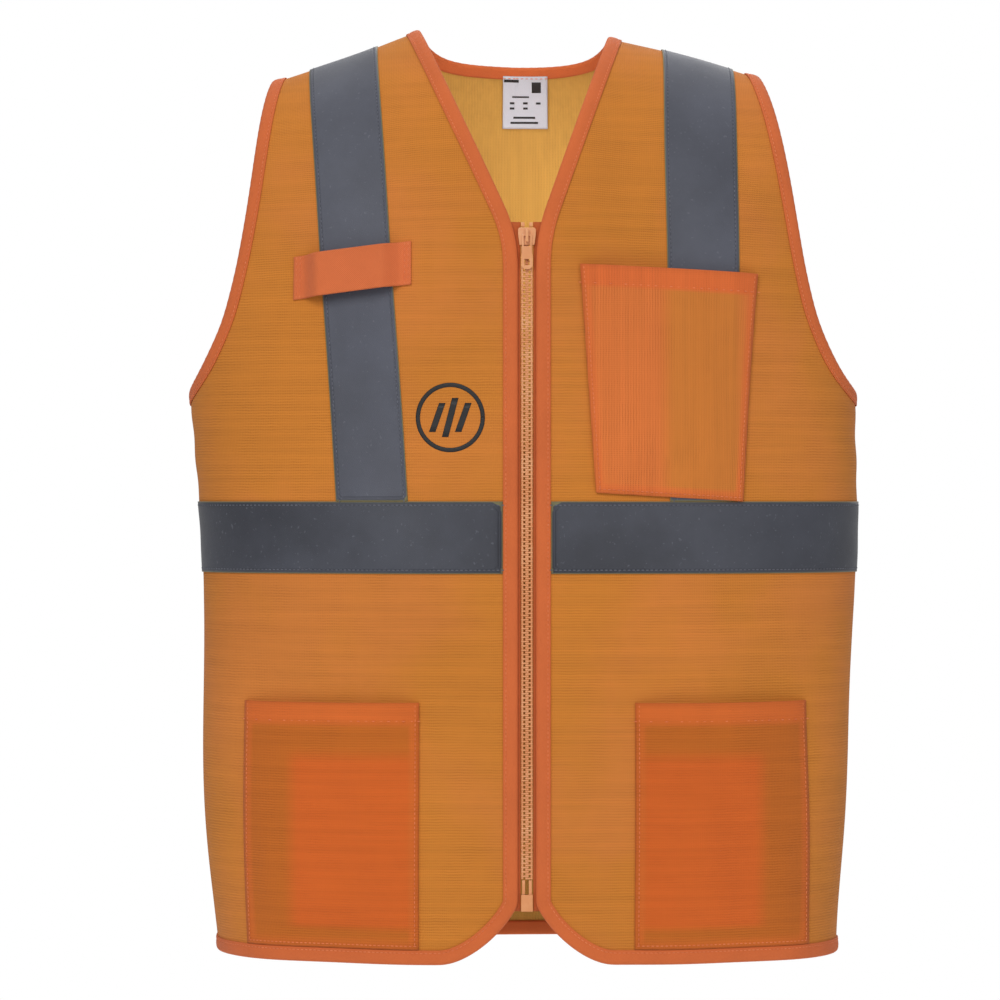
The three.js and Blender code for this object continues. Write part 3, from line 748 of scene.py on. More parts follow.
        # Share of the width in from the cloth's edge, and millimetres out: outer leg, bridge, inner leg
        # and back along the inside.
        section = [(1.0, 0.35), (1.0, 0.9), (0.9, 1.15), (self.binding_seam, 0.92), (0.6, 1.4), (0.35, 1.6),
                   (0.12, 1.5), (-0.04, 1.05), (-0.12, 0.3), (-0.14, -0.4), (-0.12, -1.1), (-0.03, -1.7),
                   (0.12, -2.05), (0.5, -2.15), (0.8, -1.9), (1.0, -1.8), (1.0, -1.15), (0.5, -1.1),
                   (0.04, -1.0), (0.02, 0.2), (0.5, 0.32)]
        run = np.arange(len(sites)) * self.binding_step
        pucker = self.pucker * np.sin(TURN * run / (2 * self.stitch_pitch))
        rings = []
        for share, out in section:
            spots = sites + inward[:, [0, 2]] * (share * wide)
            swell = pucker * (0.0 if share == 1.0 else 1.0) * np.sign(out)
            rings.append(torso.at(spots[:, 0], spots[:, 1], face, out * MM + swell))
        points = np.stack(rings, axis=1)
        stations, sides = points.shape[:2]
        faces = [(i * sides + j, i * sides + (j + 1) % sides, (i + 1) * sides + (j + 1) % sides,
                  (i + 1) * sides + j) for i in range(stations - 1) for j in range(sides)]
        faces += [tuple(range(sides))[::-1], tuple((stations - 1) * sides + j for j in range(sides))]
        across = np.array([share for share, _ in section]) * wide
        cloth = np.stack(np.broadcast_arrays(run[:, None], across, 0.0), axis=-1)
        shape.add(points, faces, cloth)
        seam_line = sites + inward[:, [0, 2]] * (self.binding_seam * wide)
        self.seam(self.thread, seam_line, face, self.binding_seam_out)


# Finishes -----------------------------------------------------------------------------------------

class Signal:
    """A socket's value in an expression. Each operator adds the Math node that works it out."""

    def __init__(self, shader: "Shader", socket: bpy.types.NodeSocket) -> None:
        """Wraps a socket of a shader."""
        self.shader, self.socket = shader, socket

    def maths(self, operation: str, *values: "Signal | float") -> "Signal":
        """Adds a Math node that works on the values."""
        return self.shader.add("ShaderNodeMath", {"operation": operation}, dict(enumerate(values)))

    def __add__(self, other: "Signal | float") -> "Signal":
        """self + other."""
        return self.maths("ADD", self, other)

    def __sub__(self, other: "Signal | float") -> "Signal":
        """self - other."""
        return self.maths("SUBTRACT", self, other)

    def __rsub__(self, other: float) -> "Signal":
        """other - self."""
        return self.maths("SUBTRACT", other, self)

    def __mul__(self, other: "Signal | float") -> "Signal":
        """self * other."""
        return self.maths("MULTIPLY", self, other)

    def __pow__(self, other: "Signal | float") -> "Signal":
        """self to the power of other."""
        return self.maths("POWER", self, other)

    __radd__, __rmul__ = __add__, __mul__

    def wave(self, pitch: float) -> "Signal":
        """Sine of a length with this pitch, from 0 to 1."""
        turned = self * (TURN / pitch)
        return turned.maths("SINE", turned) * 0.5 + 0.5

    def size(self) -> "Signal":
        """Value without its sign."""
        return self.maths("ABSOLUTE", self)

    def ease(self, start: float, end: float) -> "Signal":
        """0 at start, 1 at end, smooth between."""
        return self.shader.add("ShaderNodeMapRange", {"interpolation_type": "SMOOTHSTEP"},
                               {"Value": self, "From Min": start, "From Max": end})


class Shader:
    """Node tree of one material."""

    def __init__(self, name: str, roughness: float, fixed: dict[str, float]) -> None:
        """Starts a material.

        Args:
            name: the material's name.
            roughness: its plain roughness.
            fixed: constant values set on the shader's own sockets.
        """
        self.material = bpy.data.materials.new(name)
        self.material.use_nodes = True
        self.tree = self.material.node_tree
        self.surface = self.tree.nodes["Principled BSDF"]
        self.surface.inputs["Roughness"].default_value = roughness
        for key, value in fixed.items():
            self.surface.inputs[key].default_value = value

    def add(self, kind: str, settings: dict | None = None, values: dict | None = None,
            output: int | str = 0) -> Signal:
        """Adds a node.

        Args:
            kind: the node's type.
            settings: its own settings, set first.
            values: socket values, or signals to link, by name or place.
            output: the socket that is returned.

        Returns:
            The chosen output.
        """
        node = self.tree.nodes.new(kind)
        for key, value in (settings or {}).items():
            setattr(node, key, value)
        for key, value in (values or {}).items():
            if isinstance(value, Signal):
                self.tree.links.new(value.socket, node.inputs[key])
            else:
                node.inputs[key].default_value = value
        return Signal(self, node.outputs[output])

    def cloth(self) -> tuple[Signal, Signal, Signal]:
        """Distances along the cloth, up it and in from its edge, the last negative on the inner face."""
        place = self.add("ShaderNodeAttribute", {"attribute_name": "cloth"}, output="Vector")
        return tuple(self.add("ShaderNodeSeparateXYZ", None, {0: place}, axis) for axis in "XYZ")

    def doubled(self) -> Signal:
        """Share of a second layer of the same cloth."""
        return self.add("ShaderNodeAttribute", {"attribute_name": "doubled"}, output="Fac")

    def place(self) -> Signal:
        """Position in the object's own frame."""
        return self.add("ShaderNodeTexCoord", output="Object")

    def noise(self, scale: float, detail: float = 3.0, rough: float = 0.55) -> Signal:
        """Smooth noise, from 0 to 1."""
        return self.add("ShaderNodeTexNoise", None, {
            "Vector": self.place(), "Scale": scale, "Detail": detail, "Roughness": rough}, "Fac")

    def blend(self, share: Signal, first: Colour | Signal, second: Colour | Signal) -> Signal:
        """Colour between two colours."""
        ends = [c if isinstance(c, Signal) else (*c, 1.0) for c in (first, second)]
        return self.add("ShaderNodeMix", {"data_type": "RGBA"}, {0: share, 6: ends[0], 7: ends[1]}, 2)

    def finish(self, colour: Signal, roughness: Signal | None, height: Signal, depth: float,
               strength: float = 1.0) -> bpy.types.Material:
        """Links the colour, roughness and relief.

        Args:
            colour: the surface's colour.
            roughness: its roughness, or None for the plain one.
            height: its relief, from 0 to 1.
            depth: how deep the relief is.
            strength: how strongly it shows.

        Returns:
            The finished material.
        """
        links = self.tree.links
        links.new(colour.socket, self.surface.inputs["Base Color"])
        if roughness is not None:
            links.new(roughness.socket, self.surface.inputs["Roughness"])
        bump = self.add("ShaderNodeBump", None, {"Height": height, "Distance": depth, "Strength": strength})
        links.new(bump.socket, self.surface.inputs["Normal"])
        return self.material


class Run(Enum):
    """Way in which a knit's ribs run."""

    LEVEL = "level"
    UPRIGHT = "upright"


def tone(red: int, green: int, blue: int) -> Colour:
    """Linear colour from screen values of 0 to 255."""
    return tuple(((value / 255 + 0.055) / 1.055) ** 2.4 for value in (red, green, blue))


@dataclass(frozen=True)
class Knit:
    """Ribbed knit of the shell and the pockets.

    The ribs are face-coloured, with grooves between them in the darker groove colour, which is painted
    shade.
    Colours that are None aren't used: backed is seen over the backing nodes, folded where the cloth lies
    double, inner on the cloth's inner face, paler there as painted light that shines through the thin knit,
    and tint in soft patches.
    """

    name: str
    face: Colour
    groove: Colour
    run: Run
    rib: float = 2.1 * MM
    loop: float = 1.3 * MM
    relief: float = 0.18 * MM
    backed: Colour | None = None
    backing: tuple[str, ...] = ()
    folded: Colour | None = None
    inner: Colour | None = None
    tint: Colour | None = None
    show: float = 0.7
    blur: float = 7 * MM

    def material(self) -> bpy.types.Material:
        """Builds the material.

        Returns:
            The material.
        """
        s = Shader(self.name, 0.86, {
            "Sheen Weight": 0.04, "Sheen Roughness": 0.6, "Specular IOR Level": 0.2})
        along, up, edge = s.cloth()
        rib_axis, loop_axis = (up, along) if self.run is Run.LEVEL else (along, up)
        drift = (s.noise(9.0, 2.0) - 0.5) * (1.2 * MM) + (s.noise(140.0, 2.0) - 0.5) * (1.1 * MM)
        plain = (rib_axis + drift).wave(self.rib)
        ribs = (plain - 0.5) * (s.noise(55.0, 3.0).ease(0.3, 0.7) * 0.75 + 0.25) + 0.5
        loops = (loop_axis + ribs * (0.35 * self.loop)).wave(self.loop)
        holes = (1 - ribs) ** 3 * (1 - loops) ** 2
        fuzz = s.noise(900.0, 2.0)
        patchy = s.noise(5.5, 4.0)
        stretch = (2.0, 2.0, 60.0) if self.run is Run.LEVEL else (60.0, 60.0, 2.0)
        drawn = s.add("ShaderNodeMapping", None, {"Vector": s.place(), "Scale": stretch})
        streak = s.add("ShaderNodeTexNoise", None, {"Vector": drawn, "Scale": 4.0, "Detail": 3.0}, "Fac")
        # Painted shade: the hollows between the ribs and loops take the darker groove colour.
        colour = s.blend(ribs * 0.5 + loops * 0.2 + fuzz * 0.3, self.groove, self.face)
        if self.tint:
            colour = s.blend(s.noise(8.0, 3.0).ease(0.4, 0.66) * 0.5, colour, self.tint)
        # Painted light: the inner face is paler, standing in for light that shines through the thin knit.
        if self.inner:
            colour = s.blend(1 - edge.ease(-0.5 * MM, 0.0), colour, self.inner)
        if self.backed:
            colour = s.blend(self.behind(s) * (1 - s.doubled()), colour, self.backed)
        if self.folded:
            colour = s.blend(s.doubled() * 0.75, colour, self.folded)
        # Random patches and streaks of tone, and painted shade that darkens the knit's holes.
        tone_and_shade = (patchy - 0.5) * 0.3 + (streak - 0.5) * 0.24 + 1.0 - holes * 0.25
        # Painted shade: the knit is 8% darker within 5 mm of its edges, along the bindings and seams.
        edge_shade_and_tone = (1 - edge.size().ease(0.0, 5 * MM)) * -0.08 + tone_and_shade
        colour = s.add("ShaderNodeVectorMath", {"operation": "SCALE"}, {0: colour, "Scale": edge_shade_and_tone})
        height = ribs * 0.6 + loops * 0.3 - holes * 0.6 + fuzz * 0.18
        return s.finish(colour, 0.8 + fuzz * 0.14, height, self.relief, 0.9)

    def behind(self, s: Shader) -> Signal:
        """Mask of the places that have another layer behind them.

        Args:
            s: the material's node tree.

        Returns:
            The mask, as strong as show.
        """
        place = s.place()
        x, z = (s.add("ShaderNodeSeparateXYZ", None, {0: place}, axis) for axis in "XZ")
        total: Signal | None = None
        for node in self.backing:
            start, end, soft = low(node), high(node), self.blur
            inside = x.ease(start[0] - soft, start[0] + soft) * (1 - x.ease(end[0] - soft, end[0] + soft))
            inside = inside * z.ease(start[2] - soft, start[2]) * (1 - z.ease(end[2] - soft, end[2] + soft))
            total = inside if total is None else total + inside
        return total * self.show


@dataclass(frozen=True)
class Woven:
    """Fine woven ribbon of the bindings, the tab, the zip tapes and the label."""

    name: str
    face: Colour
    groove: Colour
    pitch: float = 0.9 * MM
    relief: float = 0.16 * MM
    roughness: float = 0.78

    def material(self) -> bpy.types.Material:
        """Builds the material.

        Returns:
            The material.
        """
        s = Shader(self.name, self.roughness, {"Sheen Weight": 0.06, "Specular IOR Level": 0.3})
        along, up, edge = s.cloth()
        warp, weft = (along + up).wave(self.pitch), (along - up).wave(self.pitch)
        weave = warp * weft
        fuzz, patchy = s.noise(1100.0, 2.0), s.noise(24.0, 3.0)
        # Painted shade: the hollows of the weave take the darker groove colour.
        colour = s.blend(weave * 0.7 + fuzz * 0.3, self.groove, self.face)
        # Random patches of tone, and painted shade that makes the ribbon a little darker within 2 mm of its
        # edges.
        tone_and_shade = (patchy - 0.5) * 0.26 + 1.0 + edge.size().ease(0.0, 2 * MM) * 0.02
        colour = s.add("ShaderNodeVectorMath", {"operation": "SCALE"}, {0: colour, "Scale": tone_and_shade})
        return s.finish(colour, self.roughness - 0.06 + fuzz * 0.12, weave + fuzz * 0.25, self.relief)


@dataclass(frozen=True)
class Reflective:
    """Silver-grey beaded tape with raw cut edges."""

    name: str = "reflective_tape"
    face: Colour = tone(88, 91, 104)
    shadow: Colour = tone(64, 66, 76)
    cut: Colour = tone(122, 118, 84)
    # thread: colour of the line along each seam, painted shade in the groove that the stitches pull, darker
    # than the grey thread itself.
    thread: Colour = tone(44, 46, 54)
    # bead: colour of the painted glints on the glass beads.
    bead: Colour = tone(150, 153, 165)
    grain_pitch: float = 1.1 * MM
    relief: float = 0.22 * MM
    seam: float = 2.6 * MM
    seam_half: float = 0.9 * MM

    def material(self) -> bpy.types.Material:
        """Builds the material.

        Returns:
            The material.
        """
        s = Shader(self.name, 0.5, {"Sheen Weight": 0.12, "Coat Weight": 0.04, "Coat Roughness": 0.5})
        along, up, edge = s.cloth()
        beads = s.add("ShaderNodeTexVoronoi", None, {"Vector": s.place(), "Scale": 1500.0}, "Distance")
        patchy, crease = s.noise(7.0, 5.0, 0.6), s.noise(38.0, 4.0, 0.65)
        grain = (along * 0.7 + up).wave(self.grain_pitch) * (along - up * 0.7).wave(self.grain_pitch)
        colour = s.blend(patchy.ease(0.32, 0.68) * 0.7 + crease * 0.3, self.shadow, self.face)
        # Painted glint: lighter specks of painted highlight on the glass beads.
        glint = s.noise(420.0, 1.0).ease(0.66, 0.8)
        colour = s.blend(glint * 0.16, colour, self.bead)
        rim = edge.size()
        past_seam = rim.ease(self.seam, self.seam + self.seam_half)
        groove = rim.ease(self.seam - self.seam_half, self.seam) * (1 - past_seam)
        # Painted shade: the groove along each seam is darkened towards the thread colour.
        colour = s.blend(groove * 0.35, colour, self.thread)
        colour = s.blend(1 - rim.ease(0.3 * MM, 0.9 * MM), colour, self.cut)
        height = beads * 0.3 + crease * 0.9 + grain * 0.25 - groove * 1.2
        return s.finish(colour, 0.42 + crease * 0.2 + beads * 0.1, height, self.relief, 0.8)


@dataclass(frozen=True)
class Moulded:
    """Moulded zip plastic, thread and print."""

    name: str
    face: Colour
    worn: Colour
    roughness: float = 0.42
    grain: float = 600.0
    relief: float = 0.06 * MM

    def material(self) -> bpy.types.Material:
        """Builds the material.

        Returns:
            The material.
        """
        s = Shader(self.name, self.roughness, {"Coat Weight": 0.05})
        fine, broad = s.noise(self.grain, 2.0), s.noise(60.0, 3.0)
        colour = s.blend(broad.ease(0.35, 0.7) * 0.7 + fine * 0.3, self.face, self.worn)
        return s.finish(colour, self.roughness - 0.05 + fine * 0.14, fine + broad, self.relief)


@dataclass
class Finishes:
    """All materials of the vest."""

    front: bpy.types.Material = field(default_factory=lambda: Knit(
        "shell_knit", tone(216, 138, 54), tone(192, 112, 38), Run.LEVEL, rib=1.9 * MM,
        tint=tone(216, 126, 64)).material())
    # The back's inner colour is painted light: a paler inside, for light that shines through the thin knit.
    back: bpy.types.Material = field(default_factory=lambda: Knit(
        "back_knit", tone(216, 138, 54), tone(192, 112, 38), Run.UPRIGHT,
        inner=tone(208, 158, 76), tint=tone(214, 128, 62)).material())
    pocket: bpy.types.Material = field(default_factory=lambda: Knit(
        "pocket_knit", tone(230, 130, 66), tone(208, 106, 48), Run.UPRIGHT, rib=1.9 * MM,
        backed=tone(204, 126, 50), backing=("left_shoulder_tape_front",),
        folded=tone(226, 108, 54)).material())
    lower_pocket: bpy.types.Material = field(default_factory=lambda: Knit(
        "lower_pocket_knit", tone(202, 112, 40), tone(182, 92, 28), Run.LEVEL, rib=1.8 * MM,
        backed=tone(218, 98, 38), backing=("right_inner_pocket", "left_inner_pocket"),
        folded=tone(222, 108, 48)).material())
    binding: bpy.types.Material = field(default_factory=lambda: Woven(
        "edge_binding", tone(238, 130, 70), tone(208, 98, 48)).material())
    tab: bpy.types.Material = field(default_factory=lambda: Woven(
        "tab_webbing", tone(238, 132, 78), tone(212, 104, 56), 1.4 * MM, 0.2 * MM).material())
    tape: bpy.types.Material = field(default_factory=lambda: Reflective().material())
    # Painted shade: a darker copy of the reflective tape for the level waist runs, which catch less light
    # than the shoulder runs.
    waist_tape: bpy.types.Material = field(default_factory=lambda: Reflective(
        "waist_reflective_tape", tone(73, 76, 87), tone(42, 44, 53)).material())
    zip_tape: bpy.types.Material = field(default_factory=lambda: Woven(
        "zip_tape_weave", tone(214, 112, 58), tone(176, 80, 36), 1.2 * MM).material())
    plastic: bpy.types.Material = field(default_factory=lambda: Moulded(
        "zip_plastic", tone(222, 144, 88), tone(236, 172, 122)).material())
    label: bpy.types.Material = field(default_factory=lambda: Woven(
        "label_satin", tone(222, 227, 236), tone(202, 207, 216), 0.7 * MM, 0.08 * MM, 0.55).material())
    ink: bpy.types.Material = field(default_factory=lambda: Moulded(
        "black_print", tone(22, 21, 22), tone(34, 32, 33), 0.6, 900.0).material())
    thread: bpy.types.Material = field(default_factory=lambda: Moulded(
        "orange_thread", tone(240, 142, 92), tone(222, 118, 70), 0.7, 1400.0).material())
    grey_thread: bpy.types.Material = field(default_factory=lambda: Moulded(
        "grey_thread", tone(118, 120, 132), tone(84, 86, 98), 0.65, 1400.0).material())


# Sub-assemblies -----------------------------------------------------------------------------------

@dataclass
class Sewing:
    """What every sub-assembly of the vest is made with."""

    torso: Torso
    cutter: Cutter
    tailor: Tailor
    finishes: Finishes

    def sheet(self, piece: bpy.types.Object, flat: tuple[float, float, float], node: str, slot: str,
              rests_on: Sequence[str] = ()) -> None:
        """Hides the frame node that a piece of cloth stands for.

        Args:
            piece: the piece; not used.
            flat: its width, height and area laid flat; not used.
            node: the frame node.
            slot: the node's material slot; not used.
            rests_on: the pieces that it lies on; not used.
        """
        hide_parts(node)


@dataclass
class Shell:
    """The two fronts and the back, with the bindings of all their edges.

    Rows of sites lie close together just above the armpit, and columns beside the corners of the neck,
    because the edges turn sharply there.
    """

    sewing: Sewing
    fabric: float = 0.8 * MM
    low_rows: int = 92
    high_rows: int = 84
    columns: int = 62
    close_share: float = 0.04
    close_rows: int = 10
    corner_reach: float = 12 * MM
    corner_columns: int = 14

    def build(self) -> None:
        """Makes the panels and the bindings."""
        for side in Side:
            self.front(side)
        self.back()
        for side in Side:
            self.edges(side)
        self.back_edges()

    def heights(self) -> np.ndarray:
        """Spaces a panel's rows, close together just above the armpit.

        Returns:
            Shares of the height, 1 at the armpit and 2 at the top.
        """
        close = 1 + self.close_share * (np.arange(1, self.close_rows) / self.close_rows) ** 2
        upper = np.linspace(1 + self.close_share, 2, self.high_rows)
        return np.concatenate([np.linspace(0, 1, self.low_rows), close, upper])

    def back_widths(self) -> np.ndarray:
        """Spaces the back's columns, close together beside the corners of the neck.

        Returns:
            Shares of the width.
        """
        t = self.sewing.torso
        tips = [t.armhole(side, Face.BACK)[0, 0] / t.chest_half for side in Side]
        start, end = t.angle(np.array(tips))
        steps = self.corner_reach * (np.arange(self.corner_columns) / (self.corner_columns - 1)) ** 2
        close = [(t.angle((t.neck_x(side) - side.sign * steps) / t.chest_half) - start) / (end - start)
                 for side in Side]
        even = np.linspace(0, 1, 2 * self.columns)
        gap = 0.002
        for shares in close:
            even = even[(even < shares.min() - gap) | (even > shares.max() + gap)]
        return np.sort(np.concatenate([even, *close]))

    def panel(self, patch: Patch, name: str, node: str, material: bpy.types.Material) -> None:
        """One panel of shell fabric.

        Args:
            patch: its sites.
            name: the piece's name.
            node: the frame node that it stands for.
            material: its finish.
        """
        shape = Shape()
        flat = self.sewing.tailor.slab(shape, patch, -self.fabric, 0.0)
        self.sewing.sheet(shape.piece(name, material), flat, node, "shell")

    def front(self, side: Side) -> None:
        """One front, from the hem up to its shoulder seam.

        Args:
            side: the front.
        """
        s, t = self.sewing, self.sewing.torso
        inner, outer = t.inner_line(side), t.outer_line(side, Face.FRONT)
        patch = s.cutter.between(Face.FRONT, inner, outer, level(t.hem), t.ridge, self.heights(),
                                 np.linspace(0, 1, self.columns))
        self.panel(patch, f"{side}_front_knit", f"{side}_front_panel", s.finishes.front)

    def back(self) -> None:
        """The back, in one piece from side seam to side seam."""
        s, t = self.sewing, self.sewing.torso
        right, left = (t.outer_line(side, Face.BACK) for side in Side)
        patch = s.cutter.between(Face.BACK, right, left, level(t.hem), t.back_top, self.heights(),
                                 self.back_widths())
        self.panel(patch, "back_knit_panel", "back_panel", s.finishes.back)

    def bind(self, name: str, node: str, line: np.ndarray, face: Face, cloth_side: int) -> None:
        """One length of binding.

        Args:
            name: the piece's name.
            node: the frame node that it stands for.
            line: (x, z) rows along the cloth's edge.
            face: the front or the back.
            cloth_side: 1 where the cloth is on the left of the line as seen from outside, else -1.
        """
        s = self.sewing
        shape = Shape()
        s.tailor.fold(shape, line, face, cloth_side)
        piece = shape.piece(name, s.finishes.binding)
        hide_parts(node)

    def edges(self, side: Side) -> None:
        """The bindings of a front's long edge and of its armhole.

        Args:
            side: the side of the wearer.
        """
        t, sign = self.sewing.torso, side.sign
        start = t.front_edge(side)[0, 0]
        hem = t.level_line(t.hem, sign * t.hem_half, float(start))
        edge = np.concatenate([hem, t.front_edge(side)[1:]])
        self.bind(f"{side}_front_edge_fold", f"{side}_front_binding", edge, Face.FRONT, -sign)
        for face in Face:
            self.bind(f"{side}_armhole_fold_{face.word}", f"{side}_armhole_binding_{face.word}",
                      t.armhole(side, face), face, sign * face)

    def back_edges(self) -> None:
        """The bindings of the back hem and the back neck."""
        t = self.sewing.torso
        hem = t.level_line(t.hem, -t.hem_half, t.hem_half, 800)
        self.bind("back_hem_fold", "back_hem_binding", hem, Face.BACK, -1)
        self.bind("back_neck_fold", "back_neck_binding", t.back_neck(), Face.BACK, 1)


@dataclass
class Tapes:
    """Reflective tapes round the waist and over the shoulders, with their seams."""

    sewing: Sewing
    rest: float = 0.3 * MM
    thick: float = 0.7 * MM
    margin: float = 2.6 * MM
    thread_lift: float = 0.08 * MM
    shoulder_half: float = 25 * MM
    shoulder_foot: dict[Side, float] = field(
        default_factory=lambda: {Side.RIGHT: 107 * MM, Side.LEFT: 124 * MM})
    shoulder_top: dict[Side, float] = field(
        default_factory=lambda: {Side.RIGHT: 131 * MM, Side.LEFT: 121 * MM})
    waist_rows: int = 15
    waist_columns: int = 70
    shoulder_rows: int = 120
    shoulder_columns: int = 21
    thread: Shape = field(default_factory=Shape)

    @property
    def thread_out(self) -> float:
        """Distance of the seams from the torso surface."""
        return self.rest + self.thick + self.thread_lift

    def build(self) -> None:
        """Makes all tapes, then their stitches."""
        for side in Side:
            self.waist(side)
            for face in Face:
                self.shoulder(side, face)
        self.waist_back()
        stitches = self.thread.piece("tape_stitches", self.sewing.finishes.grey_thread)

    def lay(self, patch: Patch, name: str, node: str, rests_on: str, material: bpy.types.Material) -> None:
        """One tape, sewn down on a panel.

        Args:
            patch: its sites.
            name: the piece's name.
            node: the frame node that it stands for.
            rests_on: the panel.
            material: its finish.
        """
        s = self.sewing
        shape = Shape()
        flat = s.tailor.slab(shape, patch, self.rest, self.rest + self.thick)
        s.sheet(shape.piece(name, material), flat, node, "tape", [rests_on])

    def band(self, face: Face, start: float, end: float, foot: float, top: float, columns: int) -> Patch:
        """Level band between two x values.

        Args:
            face: the front or the back.
            start: x of one end.
            end: x of the other end.
            foot: level of the lower edge.
            top: level of the upper edge.
            columns: number of sites along it.

        Returns:
            The band.
        """
        t = self.sewing.torso

        def side_line(x: float) -> EdgeLine:
            """Edge at x, or at the side seam where x lies past it."""
            return lambda z: np.clip(np.full(z.shape, x), -t.half_width(z), t.half_width(z))
        return self.sewing.cutter.between(face, side_line(start), side_line(end), level(foot), level(top),
                                          np.linspace(0, 1, self.waist_rows), np.linspace(0, 1, columns))

    def level_seams(self, face: Face, start: float, end: float, foot: float, top: float) -> None:
        """Two rows of stitches along a level tape.

        Args:
            face: the front or the back.
            start: x of one end.
            end: x of the other end.
            foot: level of the tape's lower edge.
            top: level of its upper edge.
        """
        s = self.sewing
        for z in (foot + self.margin, top - self.margin):
            line = s.torso.level_line(z, start, end, 600)
            s.tailor.seam(self.thread, line, face, self.thread_out)

    def waist(self, side: Side) -> None:
        """Front run of the waist tape on one side.

        Args:
            side: the front.
        """
        node, sign = f"{side}_waist_tape_front", side.sign
        foot, top = low(node)[2], high(node)[2]
        near = min(abs(low(node)[0]), abs(high(node)[0]))
        far = sign * self.sewing.torso.chest_half
        patch = self.band(Face.FRONT, sign * near, far, foot, top, self.waist_columns)
        self.lay(patch, f"{side}_waist_reflector", node, f"{side}_front_knit",
                 self.sewing.finishes.waist_tape)
        self.level_seams(Face.FRONT, sign * near, far, foot, top)

    def waist_back(self) -> None:
        """Back run of the waist tape, from side seam to side seam."""
        node = "waist_tape_back"
        foot, top, far = low(node)[2], high(node)[2], self.sewing.torso.chest_half
        patch = self.band(Face.BACK, -far, far, foot, top, 2 * self.waist_columns)
        self.lay(patch, "back_waist_reflector", node, "back_knit_panel", self.sewing.finishes.waist_tape)
        self.level_seams(Face.BACK, -far, far, foot, top)

    def shoulder(self, side: Side, face: Face) -> None:
        """Tape from the waist tape up to the shoulder seam.

        Args:
            side: the shoulder.
            face: the front or the back.
        """
        s, half = self.sewing, self.shoulder_half
        foot_x = side.sign * self.shoulder_foot[side]
        top_x = side.sign * self.shoulder_top[side]
        waist_top = high("waist_tape_back")[2]

        def line(shift: float) -> EdgeLine:
            """Straight edge beside the tape's middle."""
            return lambda z: foot_x + (top_x - foot_x) * (z - waist_top) / -waist_top + shift
        foot = waist_top + self.rest
        patch = s.cutter.between(face, line(-half), line(half), level(foot), s.torso.ridge,
                                 np.linspace(0, 1, self.shoulder_rows),
                                 np.linspace(0, 1, self.shoulder_columns))
        node = f"{side}_shoulder_tape_{face.word}"
        under = f"{side}_front_knit" if face is Face.FRONT else "back_knit_panel"
        self.lay(patch, f"{side}_shoulder_reflector_{face.word}", node, under, s.finishes.tape)
        for shift in (self.margin - half, half - self.margin):
            z = np.linspace(foot, 0.0, 900)
            x = line(shift)(z)
            seam = np.stack([x, z], axis=-1)[z <= s.torso.ridge(x)]
            s.tailor.seam(self.thread, seam, face, self.thread_out)


